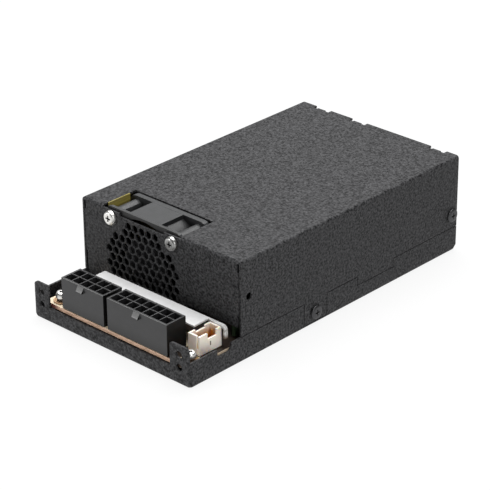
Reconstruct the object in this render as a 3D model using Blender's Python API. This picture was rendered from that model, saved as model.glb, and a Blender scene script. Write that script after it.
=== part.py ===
"""Small modular computer power supply: steel tray and cover, 40 mm fan, output headers and converter."""

import math

import bmesh
import bpy
from mathutils import Matrix, Vector

MM = 0.001

# Overall sheet-metal box. x runs from the left side, y from the front lip and z from the underside.
WIDTH = 81.5
LENGTH = 150.0
HEIGHT = 40.5
SHEET = 0.8
BEND = 1.2
GAP = 0.3
DECK = 26.4  # open connector deck in front of the cover
SEAM_SLOT = 0.35

# Tray: front lip, ears, side skirts and the stepped seam with the cover
LIP_HEIGHT = 6.2
EAR_INSET = 0.5
EAR_HEIGHTS = (15.4, 16.0)  # the left one and the right one, as the next three
EAR_WIDTHS = (7.9, 9.4)
EAR_INNER_ROUNDS = (0.4, 1.3)
EAR_HOLE_INSETS = (4.4, 5.3)
EAR_HOLE_DROPS = (3.8, 9.0)
EAR_HOLE_R = 1.5
EAR_ROUND = 2.0
SEAM_HEIGHT = 10.2
SEAM_LOW = 6.5
SEAM_FOOT = 1.0
TAB_START = 60.0
TAB_WIDTH = 13.0
LOW_START = 90.0
LOW_END = 111.3
WALL_NOTCH_START = 13.9
WALL_NOTCH_WIDTH = 7.3
WALL_NOTCH_Z = 7.2
TONGUE_HEIGHT = 8.2
FLANGE_LENGTH = 6.0
FLANGE_RISE = 9.0
REAR_CHAMFER = 2.0

# Cover: front plate, corner relief, rear tabs and plain side hole
PASSAGE_FROM_FAN = 1.6
PASSAGE_HEIGHT = 13.6
RELIEF_WIDTH = 1.0
RELIEF_HEIGHT = 3.5
RELIEF_LOWER_Z = 18.4
REAR_NOTCH_WIDTH = 7.8
REAR_NOTCH_DEPTH = 2.0
REAR_TAB_WIDTH = 4.0
REAR_TAB_INSET = 1.3
REAR_TAB_DROP = 5.0
REAR_NOTCH_LEFTS = (11.8, 31.0)
REAR_NOTCH_FROM_RIGHT = 9.9
SIDE_HOLE_Y = 30.6
SIDE_HOLE_Z = 25.4
SIDE_HOLE_R = 1.5

# Side screws, two on each side: the lower one in the cover's tab, the rear one in the tray's flange
SCREW_R = 1.5
SCREW_HEAD_R = 2.9
SCREW_HEAD = 0.8
SCREW_CLEAR = SCREW_R + GAP
SIDE_SCREW_REACH = 2.4
TAB_SCREW_Z = 4.9
REAR_SCREW_SETBACK = 3.3
REAR_SCREW_Z = 16.0

# Fan
FAN_SIZE = 40.0
FAN_DEPTH = 15.0
FAN_X = 31.4
FAN_SCREW_PITCH = 32.0
FAN_BORE_R = 19.0
FAN_WALL = 0.9
FAN_FLANGES = (1.4, 2.2)  # the front one and the rear one
FAN_LAND = 8.0
FAN_BOSS_R = 2.7
FAN_ROUND = 3.0
FAN_HUB_R = 11.0
FAN_CUP_WALL = 0.8
FAN_CUP_DEPTH = 9.8
FAN_BLADES = 7
FAN_TIP_CLEAR = 0.7
FAN_HUB_PLATE = 1.2
FAN_STRUTS = 4
FAN_STRUT_WIDTH = 2.4
FAN_SCREW_LENGTH = 9.5
FAN_SCREW_HEAD = 1.4
FAN_SLOT_REACH = 11.8
FAN_SLOT_DROP = 1.3
FAN_OPENING_REAR = 1.1
MAGNET_WALL = 0.7
SHAFT_R = 0.9
BEARING_R = 2.9

# Honeycomb cells in the front plate and the rear wall
MESH_PITCH = 3.5
MESH_FLATS = 2.9
MESH_REACH = 18.0
MESH_SCREW_CLEAR = 5.5
REAR_MESH_PITCH = 4.6
REAR_MESH_FLATS = 3.7
REAR_MESH_FROM_INLET = 6.2
REAR_MESH_ABOVE_BOARD = 1.5
REAR_MESH_MARGIN = 5.5

# Circuit boards
BOARD_BOTTOM = 6.4
BOARD = 1.6
OUTPUT_BOARD_SIDE_GAPS = (4.4, 0.5)
OUTPUT_BOARD_CHAMFER = (2.2, 2.3)
OUTPUT_BOARD_SETBACK = 0.8  # in front of the heads of the lower fan screws
BOARD_JOINT = 2.0
MAIN_BOARD_SIDE_GAP = 2.2
MAIN_BOARD_FAN_GAP = 2.5
MAIN_BOARD_REAR_GAP = 3.2
STANDOFF_R = 2.5
STANDOFF_DEPTH = 4.0
BOARD_SCREW_R = 1.2
BOARD_HEAD_R = 2.2
BOARD_HEAD = 1.7
WASHER = (3.1, 0.4)  # radius and thickness, as the next one
LOCK_WASHER = (1.7, 1.6)
OUTPUT_FIXING_INSETS = (10.1, 4.3)
OUTPUT_FIXING_Y = 4.8
FRONT_FIXING = (31.2, 4.2)  # from the main board's left side and front edge
SIDE_FIXING = (3.9, 47.0)  # from its right side and front edge
REAR_FIXING = (36.2, 3.4)  # from its left side and rear edge
SHEET_INSULATOR = 0.3

# Output headers: cells on a grid, in a rim, with a latch ramp on the front wall
CELL_PITCH = 4.2
CELL_WALL = 0.5
HEADER_RIM = 0.6
HEADER_HEIGHT = 12.7
HEADER_FLOOR = 2.6
HEADER_X = 14.65
HEADER_SPACING = 1.9
LATCH_WIDTH = 3.2
LATCH_OFFSETS = {5: -0.8, 7: 0.0}  # from the middle, by the number of columns
LATCH_OUT = 1.05
LATCH_TALL = 2.6
LATCH_DROP = 0.15
PIN = 1.1
PIN_TOP = 6.4
PIN_TAIL = 1.2
SOLDER = 0.4

# White four-way signal header
SIGNAL_FROM_RIGHT = 9.5
SIGNAL_Y = 8.9
SIGNAL_SIZE = (5.8, 11.2, 7.7)
SIGNAL_WALL = 0.8
SIGNAL_FLOOR = 1.4
SIGNAL_PITCH = 2.5
SIGNAL_PIN = 0.64
SIGNAL_WINDOW = (4.1, 4.6, 2.4)  # its start, length and depth in the right wall
SIGNAL_DIP = (3.2, 3.0, 1.0)  # its front margin, rear margin and depth in the left wall
SIGNAL_KEY_REACH = 0.7

# White insulating bridge over the output filter capacitors
BRIDGE_LEFT_INSET = 0.4  # from the left end of the headers
BRIDGE_RIGHT_GAP = 1.1
BRIDGE_FROM_HEADER = 2.5
BRIDGE_WEB = 1.0  # left behind the notch for the signal header
BRIDGE_HEIGHT = 8.2
BRIDGE_WALL = 0.7
BRIDGE_RIGHT_LEG = 5.0
BRIDGE_BEND = 1.8
BRIDGE_CLEAR = 0.4
BRIDGE_NOTCH_SIDE = 1.2
FILTER_CAP_R = 3.15
FILTER_CAP_HEIGHT = 7.2
FILTER_CAP_SPACING = 21.0
FILTER_CAPS = 2

# Mains inlet in the rear wall
INLET_X = 22.0
INLET_Z = 21.0
INLET_BODY = (27.0, 20.0)
INLET_FLANGE_SIZE = (30.6, 23.6)
INLET_FLANGE = 2.0
INLET_DEPTH = 18.0
INLET_SOCKET = (24.0, 16.0)
INLET_SOCKET_DEPTH = 16.0
INLET_CORNER = 4.0
BLADE = (2.0, 4.0)
BLADE_SPACING = 7.0
BLADE_EARTH_RISE = 3.0
BLADE_LIVE_DROP = 2.0
BLADE_REACH = 13.0
TERMINAL_LENGTH = 4.0
TERMINAL_FOOT = 1.2

# Parts on the main board. Their places are from its left side and front edge.
TRANSFORMER_AT = (0.8, 2.9)
TRANSFORMER_SIZE = (26.4, 22.0)
TRANSFORMER_HEADROOM = 2.8
CORE_PLATE = 4.4
CORE_LEG = 3.2
CORE_POST_R = 5.0
TAPE_WALL = 0.3
TAPE_FOOT = 4.0
TAPE_DROP = 0.6
RESONANT_AT = (35.0, 8.0)
RESONANT_SIZE = (12.0, 13.0, 15.2)
STANDBY_AT = (59.0, 64.0)
STANDBY_SIZE = (15.0, 13.0, 15.7)
COIL_EASE = 1.6
BOOST_COIL_AT = (53.5, 47.5)
BOOST_COIL = (6.2, 12.4, 12.0)  # bore radius, outer radius and width
CHOKE_AT = (14.0, 67.0)
CHOKE = (4.6, 10.2, 8.8)
COIL_LIFT = 0.2
BULK_AT = (14.2, 42.6)
BULK_R = 12.5
BULK_HEIGHT = 30.0
OUTPUT_CAPS_AT = ((64.0, 11.5), (64.0, 21.0))
OUTPUT_CAP_R = 4.0
OUTPUT_CAP_HEIGHT = 12.0
LINE_CAP_AT = (37.0, 17.0)  # from the left side and the rear edge, as the next two
LINE_CAP_SIZE = (18.0, 8.0, 15.2)
SAFETY_CAP_AT = (63.0, 16.0)
SAFETY_CAP_R = 4.2
SAFETY_CAP_HALF = 1.5
BOOST_SINK = (30.5, 31.0, 71.0, 3.9)  # x, front, rear and headroom
RECTIFIER_SINK = (51.0, 11.0, 35.0, 6.4)
FIN_LENGTH = 3.2
FIN_WALL = 0.9
FINS = 5
SINK_WALL = 2.0
TRANSISTOR_HALF = 5.0
TRANSISTOR_FOOT = 4.0
TRANSISTOR_BODY = (4.5, 9.0)  # how far it stands off the plate, and its height
TRANSISTOR_TAB = (1.3, 6.5)
BRIDGE_RECTIFIER_AT = (38.0, 75.5)
BRIDGE_RECTIFIER_SIZE = (18.0, 3.5, 18.0)
BRIDGE_RECTIFIER_LEGS = 2.0
BUS_BAR_X = 57.0
BUS_BAR_SIZE = (12.0, 12.0, 1.5)
CONTROL_BOARD_GAP = 4.0
CONTROL_BOARD = 1.2
CONTROL_BOARD_SIZE = (34.2, 22.2)  # its length and height
FUSE_AT = (53.0, 4.0)
FUSE_R = 2.6
FUSE_NECK = 0.3
FUSE_HALF = 10.0
FUSE_CAP = 5.0

FRONT = -(LENGTH + GAP + INLET_FLANGE) / 2
BOARD_TOP = BOARD_BOTTOM + BOARD
SEAT = BOARD_TOP + GAP
FAN_Y = DECK + SHEET + GAP
FAN_Z = HEIGHT - FAN_SIZE / 2
FAN_REAR = FAN_Y + FAN_DEPTH
PASSAGE_X = FAN_X + FAN_SIZE / 2 + PASSAGE_FROM_FAN
OUTPUT_BOARD_LEFT = SHEET + OUTPUT_BOARD_SIDE_GAPS[0]
OUTPUT_BOARD_RIGHT = WIDTH - SHEET - OUTPUT_BOARD_SIDE_GAPS[1]
OUTPUT_BOARD_FRONT = SHEET + GAP
MAIN_BOARD_LEFT = SHEET + MAIN_BOARD_SIDE_GAP
MAIN_BOARD_RIGHT = WIDTH - SHEET - MAIN_BOARD_SIDE_GAP
MAIN_BOARD_FRONT = FAN_REAR + MAIN_BOARD_FAN_GAP
MAIN_BOARD_REAR = LENGTH - SHEET - MAIN_BOARD_REAR_GAP
CELL = CELL_PITCH - CELL_WALL
HEADER_REAR = OUTPUT_BOARD_FRONT + 2 * (CELL_PITCH + HEADER_RIM)
SIGNAL_LOW = (WIDTH - SIGNAL_FROM_RIGHT, SIGNAL_Y)
BRIDGE_LEFT = HEADER_X + BRIDGE_LEFT_INSET
BRIDGE_RIGHT = WIDTH - SHEET - BRIDGE_RIGHT_GAP
BRIDGE_FRONT = HEADER_REAR + BRIDGE_FROM_HEADER
BRIDGE_REAR = SIGNAL_Y + SIGNAL_SIZE[1] + BRIDGE_CLEAR + BRIDGE_WEB
BRIDGE_TOP = SEAT + BRIDGE_HEIGHT
INNER_TOP = HEIGHT - SHEET - GAP
REAR_SCREW_Y = LENGTH - REAR_SCREW_SETBACK
TAB_SCREW_Y = TAB_START + TAB_WIDTH / 2


def place(x, y, z):
    """A point counted from the left side, the front lip and the underside, in the object's own frame."""
    return Vector(((x - WIDTH / 2) * MM, (y + FRONT) * MM, z * MM))


def clear_scene():
    for obj in list(bpy.data.objects):
        bpy.data.objects.remove(obj, do_unlink=True)


def finish(name, *, colour, roughness, metallic=0.0):
    found = bpy.data.materials.get(name) or bpy.data.materials.new(name)
    found.use_nodes = True
    shader = found.node_tree.nodes["Principled BSDF"]
    shader.inputs["Base Color"].default_value = (*colour, 1.0)
    shader.inputs["Roughness"].default_value = roughness
    shader.inputs["Metallic"].default_value = metallic
    found.diffuse_color = (*colour, 1.0)
    return found


def black_steel():
    return finish("black_steel", colour=(0.045, 0.045, 0.048), roughness=0.62)


def bright_steel():
    return finish("bright_steel", colour=(0.72, 0.71, 0.69), roughness=0.25, metallic=1.0)


def brass_pin():
    return finish("brass_pin", colour=(0.80, 0.62, 0.30), roughness=0.3, metallic=1.0)


def copper():
    return finish("copper", colour=(0.72, 0.37, 0.20), roughness=0.35, metallic=1.0)


def aluminium():
    return finish("aluminium", colour=(0.62, 0.63, 0.64), roughness=0.4, metallic=1.0)


def ferrite():
    return finish("ferrite", colour=(0.05, 0.05, 0.055), roughness=0.7)


def dark_nylon():
    return finish("dark_nylon", colour=(0.055, 0.055, 0.058), roughness=0.5)


def fan_plastic():
    return finish("fan_plastic", colour=(0.07, 0.075, 0.08), roughness=0.45)


def cream_board():
    return finish("cream_board", colour=(0.70, 0.58, 0.42), roughness=0.5)


def green_board():
    return finish("green_board", colour=(0.05, 0.12, 0.06), roughness=0.4)


def white_plastic():
    return finish("white_plastic", colour=(0.78, 0.77, 0.75), roughness=0.5)


def warm_nylon():
    return finish("warm_nylon", colour=(0.80, 0.72, 0.62), roughness=0.45)


def yellow_tape():
    return finish("yellow_tape", colour=(0.70, 0.55, 0.10), roughness=0.4)


def dark_sleeve():
    return finish("dark_sleeve", colour=(0.03, 0.035, 0.05), roughness=0.35)


def blue_epoxy():
    return finish("blue_epoxy", colour=(0.06, 0.20, 0.45), roughness=0.35)


def add_prism(bm, axis, outline, start, end):
    """A bar of the outline along an axis: (y, z) points along X, (x, z) along Y and (x, y) along Z."""
    def point(u, v, w):
        return place(*{"X": (w, u, v), "Y": (u, w, v), "Z": (u, v, w)}[axis])
    ends = [[bm.verts.new(point(u, v, w)) for u, v in outline] for w in (start, end)]
    faces = [bm.faces.new(ring) for ring in ends]
    for i in range(len(outline)):
        j = (i + 1) % len(outline)
        faces.append(bm.faces.new((ends[0][i], ends[0][j], ends[1][j], ends[1][i])))
    bmesh.ops.recalc_face_normals(bm, faces=faces)
    return faces


def add_box(bm, low, high):
    outline = [(low[0], low[1]), (high[0], low[1]), (high[0], high[1]), (low[0], high[1])]
    return add_prism(bm, "Z", outline, low[2], high[2])


def add_turned(bm, axis, centre, profile, segments, ring=False):
    """The (radius, distance along) profile turned about the axis. A ring joins its last and first points."""
    def point(radius, along, angle):
        u, v = radius * math.cos(angle), radius * math.sin(angle)
        offset = {"X": (along, u, v), "Y": (u, along, v), "Z": (u, v, along)}[axis]
        return place(*(centre[i] + offset[i] for i in range(3)))
    rows = []
    for radius, along in profile:
        count = segments if radius > 0 else 1
        angles = [2 * math.pi * (k + 0.5) / segments for k in range(count)]
        rows.append([bm.verts.new(point(radius, along, angle)) for angle in angles])
    pairs = list(zip(rows, rows[1:]))
    if ring:
        pairs.append((rows[-1], rows[0]))
    faces = []
    for first, second in pairs:
        for k in range(segments):
            m = (k + 1) % segments
            corners = [first[k % len(first)], first[m % len(first)]]
            corners += [second[m % len(second)], second[k % len(second)]]
            faces.append(bm.faces.new(list(dict.fromkeys(corners))))
    bmesh.ops.recalc_face_normals(bm, faces=faces)
    return faces


def add_rod(bm, axis, centre, radius, start, end, segments=16):
    return add_turned(bm, axis, centre, [(0, start), (radius, start), (radius, end), (0, end)], segments)


def add_pipe(bm, axis, centre, inner, outer, start, end, segments=24):
    profile = [(inner, start), (outer, start), (outer, end), (inner, end)]
    return add_turned(bm, axis, centre, profile, segments, ring=True)


def rounded(low, high, radius, steps=3):
    """The outline of a rectangle with round corners, anticlockwise."""
    points = []
    corners = ((high[0], high[1], 0), (low[0], high[1], 90), (low[0], low[1], 180), (high[0], low[1], 270))
    for x, y, turn in corners:
        cx = x - math.copysign(radius, x - (low[0] + high[0]) / 2)
        cy = y - math.copysign(radius, y - (low[1] + high[1]) / 2)
        for step in range(steps + 1):
            angle = math.radians(turn + 90 * step / steps)
            points.append((cx + radius * math.cos(angle), cy + radius * math.sin(angle)))
    return points


def inlet_outline(half_x, half_z, radius):
    """A rectangle with round corners about the mains inlet's axis."""
    return rounded((INLET_X - half_x, INLET_Z - half_z), (INLET_X + half_x, INLET_Z + half_z), radius)


def hexagon(x, z, flats):
    """A cell with a point at its top."""
    reach = flats / math.sqrt(3)
    angles = [math.radians(30 + 60 * k) for k in range(6)]
    return [(x + reach * math.cos(angle), z + reach * math.sin(angle)) for angle in angles]


def build(name, bm, material, smooth=False):
    mesh = bpy.data.meshes.new(name)
    bm.to_mesh(mesh)
    bm.free()
    mesh.materials.append(material)
    obj = bpy.data.objects.new(name, mesh)
    bpy.context.scene.collection.objects.link(obj)
    if smooth:
        mesh.shade_smooth()
        mesh.set_sharp_from_angle(angle=math.radians(35))
    return obj


def helper(name, bm):
    """A hidden shape for a Boolean."""
    obj = build(name, bm, black_steel())
    obj.hide_render = True
    obj.display_type = "WIRE"
    return obj


def combine(obj, tool, operation="DIFFERENCE", overlapping=False):
    """A Boolean with the tool, whose own shapes may be overlapping ones."""
    modifier = obj.modifiers.new(tool.name, "BOOLEAN")
    modifier.object = tool
    modifier.operation = operation
    modifier.solver = "EXACT"
    modifier.use_self = overlapping
    return obj


def bevel_edges(bm, keep, radius, segments=3):
    edges = [edge for edge in bm.edges if keep((edge.verts[0].co + edge.verts[1].co) / 2)]
    bmesh.ops.bevel(bm, geom=edges, offset=radius * MM, segments=segments, affect="EDGES", profile=0.5)


def block(name, low, high, material, bevel=0.0):
    """A box with its edges eased."""
    bm = bmesh.new()
    add_box(bm, low, high)
    if bevel:
        bmesh.ops.bevel(bm, geom=bm.edges[:], offset=bevel * MM, segments=1, affect="EDGES", profile=0.5)
    return build(name, bm, material)


def seam_profile(lift):
    """(y, z) points along the stepped seam from front to rear, raised by the lift."""
    tab_end = TAB_START + TAB_WIDTH
    steps = [(DECK, SEAM_HEIGHT), (TAB_START, SEAM_FOOT), (tab_end, SEAM_HEIGHT), (LOW_START, SEAM_LOW),
             (LOW_END, SEAM_HEIGHT)]
    points = []
    previous = None
    for y, z in steps:
        if previous is not None:
            side = lift if z < previous else -lift
            points += [(y + side, previous + lift), (y + side, z + lift)]
        else:
            points.append((y, z + lift))
        previous = z
    points.append((LENGTH, previous + lift))
    return points


def sides():
    """The span in x of each side wall, and its direction outwards."""
    return ((0.0, SHEET, -1), (WIDTH - SHEET, WIDTH, 1))


def lower_screws():
    """(y, z) of the two screws on each side."""
    return ((TAB_SCREW_Y, TAB_SCREW_Z), (REAR_SCREW_Y, REAR_SCREW_Z))


def fan_screws():
    half = FAN_SCREW_PITCH / 2
    return [(FAN_X + i * half, FAN_Z + k * half) for k in (1, -1) for i in (-1, 1)]


def front_cells():
    """Centres of the honeycomb cells over the fan, clear of its four screws."""
    centres = []
    rise = MESH_PITCH * math.sqrt(3) / 2
    rows = int(MESH_REACH // rise)
    columns = int(MESH_REACH // MESH_PITCH) + 1
    for row in range(-rows, rows + 1):
        shift = 0.5 if row % 2 == 0 else 0.0
        for column in range(-columns, columns + 1):
            x, z = (column + shift) * MESH_PITCH, row * rise
            near = min(math.hypot(FAN_X + x - sx, FAN_Z + z - sz) for sx, sz in fan_screws())
            if math.hypot(x, z) <= MESH_REACH and near >= MESH_SCREW_CLEAR:
                centres.append((FAN_X + x, FAN_Z + z))
    return centres


def rear_cells():
    """Centres of the honeycomb cells beside the mains inlet."""
    rise = REAR_MESH_PITCH * math.sqrt(3) / 2
    left = INLET_X + INLET_FLANGE_SIZE[0] / 2 + REAR_MESH_FROM_INLET
    bottom = BOARD_TOP + REAR_MESH_ABOVE_BOARD
    rows = int((HEIGHT - REAR_MESH_MARGIN - bottom) // rise) + 1
    columns = int((WIDTH - REAR_MESH_MARGIN - left) // REAR_MESH_PITCH) + 1
    centres = []
    for row in range(rows):
        for column in range(columns - row % 2):
            centres.append((left + (column + 0.5 * (row % 2)) * REAR_MESH_PITCH, bottom + row * rise))
    return centres


def on_board(at):
    """A place on the main board, from its left side and front edge."""
    return (MAIN_BOARD_LEFT + at[0], MAIN_BOARD_FRONT + at[1])


def by_rear(at):
    """A place on the main board, from its left side and rear edge."""
    return (MAIN_BOARD_LEFT + at[0], MAIN_BOARD_REAR - at[1])


def output_fixings():
    left, right = OUTPUT_FIXING_INSETS
    return ((left, OUTPUT_FIXING_Y), (WIDTH - right, OUTPUT_FIXING_Y))


def main_fixings():
    side = (MAIN_BOARD_RIGHT - SIDE_FIXING[0], MAIN_BOARD_FRONT + SIDE_FIXING[1])
    return (on_board(FRONT_FIXING), side, by_rear(REAR_FIXING))


def fixings():
    return output_fixings() + main_fixings()


def make_top_cover():
    bm = bmesh.new()
    add_box(bm, (0, DECK, SEAM_FOOT + GAP), (WIDTH, LENGTH, HEIGHT))
    top = (HEIGHT - 0.01) * MM
    middle_rear = (LENGTH - 0.01 + FRONT) * MM
    bevel_edges(bm, lambda at: at.z > top and at.y < middle_rear, BEND)
    cover = build("top_cover", bm, black_steel(), smooth=True)

    inside = bmesh.new()
    add_box(inside, (SHEET, DECK + SHEET, -1), (WIDTH - SHEET, LENGTH + 1, HEIGHT - SHEET))
    combine(cover, helper("cover_inside", inside))

    edges = bmesh.new()
    below = [(DECK - 1, -1), (LENGTH + 1, -1)]
    for low, high, out in sides():
        line = seam_profile(GAP)
        line = [(DECK - 1, line[0][1])] + line[1:-1] + [(LENGTH + 1, line[-1][1])]
        reach = (low - 1, high + 0.05) if out < 0 else (low - 0.05, high + 1)
        add_prism(edges, "X", list(reversed(line)) + below, *reach)
    combine(cover, helper("cover_side_edges", edges))

    front = bmesh.new()
    back = DECK + SHEET + 0.1
    add_box(front, (PASSAGE_X, DECK - 1, -1), (WIDTH - SHEET - 0.01, back, PASSAGE_HEIGHT))
    add_box(front, (SHEET + 0.01, DECK - 1.1, -1.1), (PASSAGE_X + 1, back, SHEET + GAP))
    relief_top = HEIGHT - BEND
    for low, high, out in sides():
        inner = high if out < 0 else low
        for slot, start, end in ((SEAM_SLOT, -1.2, relief_top - 0.1),
                                 (RELIEF_WIDTH, relief_top - RELIEF_HEIGHT, relief_top),
                                 (RELIEF_WIDTH, -1.3, RELIEF_LOWER_Z)):
            wide = sorted((inner + 0.02 * slot * out, inner - out * slot))
            add_box(front, (wide[0], DECK - 1.2 - slot, start), (wide[1], back + slot, end))
    combine(cover, helper("cover_front_edges", front), overlapping=True)

    fan = bmesh.new()
    half = FAN_SIZE / 2 + GAP
    top_cut = HEIGHT - SHEET - 0.2
    rear = FAN_REAR + FAN_OPENING_REAR
    add_box(fan, (FAN_X - half, DECK - 1, top_cut), (FAN_X + half, rear, HEIGHT + 1))
    slot = FAN_SLOT_REACH
    add_box(fan, (FAN_X - slot, DECK - 1.1, top_cut - FAN_SLOT_DROP), (FAN_X + slot, back, HEIGHT + 1.1))
    combine(cover, helper("cover_fan_opening", fan), overlapping=True)

    holes = bmesh.new()
    for x, z in front_cells():
        add_prism(holes, "Y", hexagon(x, z, MESH_FLATS), DECK - 1, DECK + SHEET + 1)
    for x, z in fan_screws():
        add_rod(holes, "Y", (x, 0, z), SCREW_CLEAR, DECK - 1, DECK + SHEET + 1, 12)
    for low, high, _ in sides():
        for y, z in lower_screws():
            add_rod(holes, "X", (0, y, z), SCREW_CLEAR, low - 1, high + 1, 12)
        add_rod(holes, "X", (0, SIDE_HOLE_Y, SIDE_HOLE_Z), SIDE_HOLE_R, low - 1, high + 1, 12)
    combine(cover, helper("cover_holes", holes))

    notches = bmesh.new()
    tabs = bmesh.new()
    bend_line = LENGTH - REAR_TAB_INSET
    for centre in REAR_NOTCH_LEFTS + (WIDTH - REAR_NOTCH_FROM_RIGHT,):
        tab, notch = REAR_TAB_WIDTH / 2, REAR_NOTCH_WIDTH / 2
        outline = [(centre - notch, LENGTH + 1), (centre - notch, LENGTH - REAR_NOTCH_DEPTH),
                   (centre - tab, LENGTH - REAR_NOTCH_DEPTH), (centre - tab, bend_line),
                   (centre + tab, bend_line), (centre + tab, LENGTH - REAR_NOTCH_DEPTH),
                   (centre + notch, LENGTH - REAR_NOTCH_DEPTH), (centre + notch, LENGTH + 1)]
        add_prism(notches, "Z", outline, HEIGHT - SHEET - 0.5, HEIGHT + 1)
        add_box(tabs, (centre - tab, bend_line - SHEET, HEIGHT - REAR_TAB_DROP),
                (centre + tab, bend_line, HEIGHT - SHEET / 2))
    combine(cover, helper("cover_rear_notches", notches))
    combine(cover, helper("cover_rear_tabs", tabs), "UNION")


def arc(x, z, radius, start):
    """Points of a quarter circle clockwise from the start angle."""
    angles = [math.radians(start - 22.5 * step) for step in range(5)]
    return [(x + radius * math.cos(angle), z + radius * math.sin(angle)) for angle in angles]


def ears():
    """(left side, right side, top, radii of the left and right top corners) of the two ears."""
    wide, tall, inner = EAR_WIDTHS, EAR_HEIGHTS, EAR_INNER_ROUNDS
    edge = WIDTH - EAR_INSET
    return ((EAR_INSET, EAR_INSET + wide[0], tall[0], EAR_ROUND, inner[0]),
            (edge - wide[1], edge, tall[1], inner[1], EAR_ROUND))


def make_base_tray():
    bm = bmesh.new()
    add_box(bm, (0, 0, 0), (WIDTH, LENGTH, INNER_TOP))
    low = 0.01 * MM
    front = (0.01 + FRONT) * MM
    bevel_edges(bm, lambda at: at.z < low or at.y < front and abs(at.x) > low, BEND)
    tray = build("base_tray", bm, black_steel(), smooth=True)

    inside = bmesh.new()
    add_box(inside, (SHEET, SHEET, SHEET), (WIDTH - SHEET, LENGTH - SHEET, HEIGHT + 1))
    combine(tray, helper("tray_inside", inside))

    windows = bmesh.new()
    above = HEIGHT + 1
    for low_x, high_x, out in sides():
        line = seam_profile(0)
        line[-1] = (LENGTH + 1, line[-1][1])
        outline = [(SHEET, above), (SHEET, SEAM_HEIGHT)] + line + [(LENGTH + 1, above)]
        reach = (low_x - 1, high_x + GAP) if out < 0 else (low_x - GAP, high_x + 1)
        add_prism(windows, "X", outline, *reach)
        corner = [(LENGTH - REAR_CHAMFER, -1), (LENGTH + 1, -1), (LENGTH + 1, REAR_CHAMFER + 1),
                  (LENGTH, REAR_CHAMFER), (LENGTH - REAR_CHAMFER, 0)]
        add_prism(windows, "X", corner, reach[0] - 0.1, reach[1] - GAP / 2)
    combine(tray, helper("tray_side_windows", windows))

    face = bmesh.new()
    left, right = ears()
    outline = [(-WIDTH, above), (-WIDTH, SEAM_HEIGHT), (left[0], SEAM_HEIGHT)]
    for low_x, high_x, top, first, second in (left, right):
        outline += arc(low_x + first, top - first, first, 180)
        outline += arc(high_x - second, top - second, second, 90)
        outline.append((high_x, LIP_HEIGHT if high_x < WIDTH / 2 else SEAM_HEIGHT))
        if high_x < WIDTH / 2:
            outline.append((right[0], LIP_HEIGHT))
    outline += [(2 * WIDTH, SEAM_HEIGHT), (2 * WIDTH, above)]
    add_prism(face, "Y", outline, -1, SHEET + 0.01)
    combine(tray, helper("tray_front_outline", face))

    openings = bmesh.new()
    half = FAN_SIZE / 2 + GAP
    add_box(openings, (FAN_X - half, FAN_Y - GAP, -1), (FAN_X + half, FAN_REAR + GAP, SHEET + 1))
    notch_end = WALL_NOTCH_START + WALL_NOTCH_WIDTH
    outline = rounded((WALL_NOTCH_START, WALL_NOTCH_Z), (notch_end, SEAM_HEIGHT + 4), 1.5)
    add_prism(openings, "X", outline, WIDTH - 2 * SHEET, WIDTH + 1)
    outline = inlet_outline(INLET_BODY[0] / 2 + GAP, INLET_BODY[1] / 2 + GAP, INLET_CORNER)
    add_prism(openings, "Y", outline, LENGTH - 2 * SHEET, LENGTH + 1)
    for x, z in rear_cells():
        add_prism(openings, "Y", hexagon(x, z, REAR_MESH_FLATS), LENGTH - 2 * SHEET, LENGTH + 1)
    for x, top in zip((EAR_HOLE_INSETS[0], WIDTH - EAR_HOLE_INSETS[1]), EAR_HEIGHTS):
        for drop in EAR_HOLE_DROPS:
            add_rod(openings, "Y", (x, 0, top - drop), EAR_HOLE_R, -1, 2 * SHEET, 12)
    combine(tray, helper("tray_openings", openings))

    standoffs = bmesh.new()
    top = BOARD_BOTTOM - GAP
    for x, y in fixings():
        bore = BOARD_SCREW_R + GAP
        profile = [(0, SHEET / 2), (STANDOFF_R, SHEET / 2), (STANDOFF_R, top), (bore, top),
                   (bore, top - STANDOFF_DEPTH), (0, top - STANDOFF_DEPTH)]
        add_turned(standoffs, "Z", (x, y, 0), profile, 12)
    combine(tray, helper("tray_standoffs", standoffs), "UNION")

    tongues = bmesh.new()
    drilled = bmesh.new()
    for low_x, high_x, out in sides():
        face_x = high_x + GAP if out < 0 else low_x - GAP
        span = sorted((face_x, face_x - out * SHEET))
        tab_end = TAB_START + TAB_WIDTH
        add_box(tongues, (span[0], TAB_START + 0.5, SHEET / 2), (span[1], tab_end - 0.5, TONGUE_HEIGHT))
        flange_low = REAR_SCREW_Z - FLANGE_RISE / 2
        add_box(tongues, (span[0], LENGTH - SHEET - FLANGE_LENGTH, flange_low),
                (span[1], LENGTH - SHEET / 2, flange_low + FLANGE_RISE))
        for y, z in lower_screws():
            add_rod(drilled, "X", (0, y, z), SCREW_CLEAR, span[0] - 0.2, span[1] + 0.2, 12)
    combine(tray, helper("tray_tongues", tongues), "UNION")
    combine(tray, helper("tray_tongue_holes", drilled))


def add_screw(bm, axis, centre, seat, out, *, head_r, head, shank_r, reach, washers=(), segments=10):
    """A pan-head screw on its (radius, thickness) washers, facing out along the axis, +1 or -1."""
    under = sum(thickness for _, thickness in washers)
    profile = [(0, seat + out * (under + head)), (head_r * 0.72, seat + out * (under + head)),
               (head_r, seat + out * (under + head * 0.45)), (head_r, seat + out * under)]
    for radius, thickness in washers:
        profile += [(radius, seat + out * under), (radius, seat + out * (under - thickness))]
        under -= thickness
    profile += [(shank_r, seat), (shank_r, seat - out * reach), (0, seat - out * reach)]
    add_turned(bm, axis, centre, profile, segments)


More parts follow.
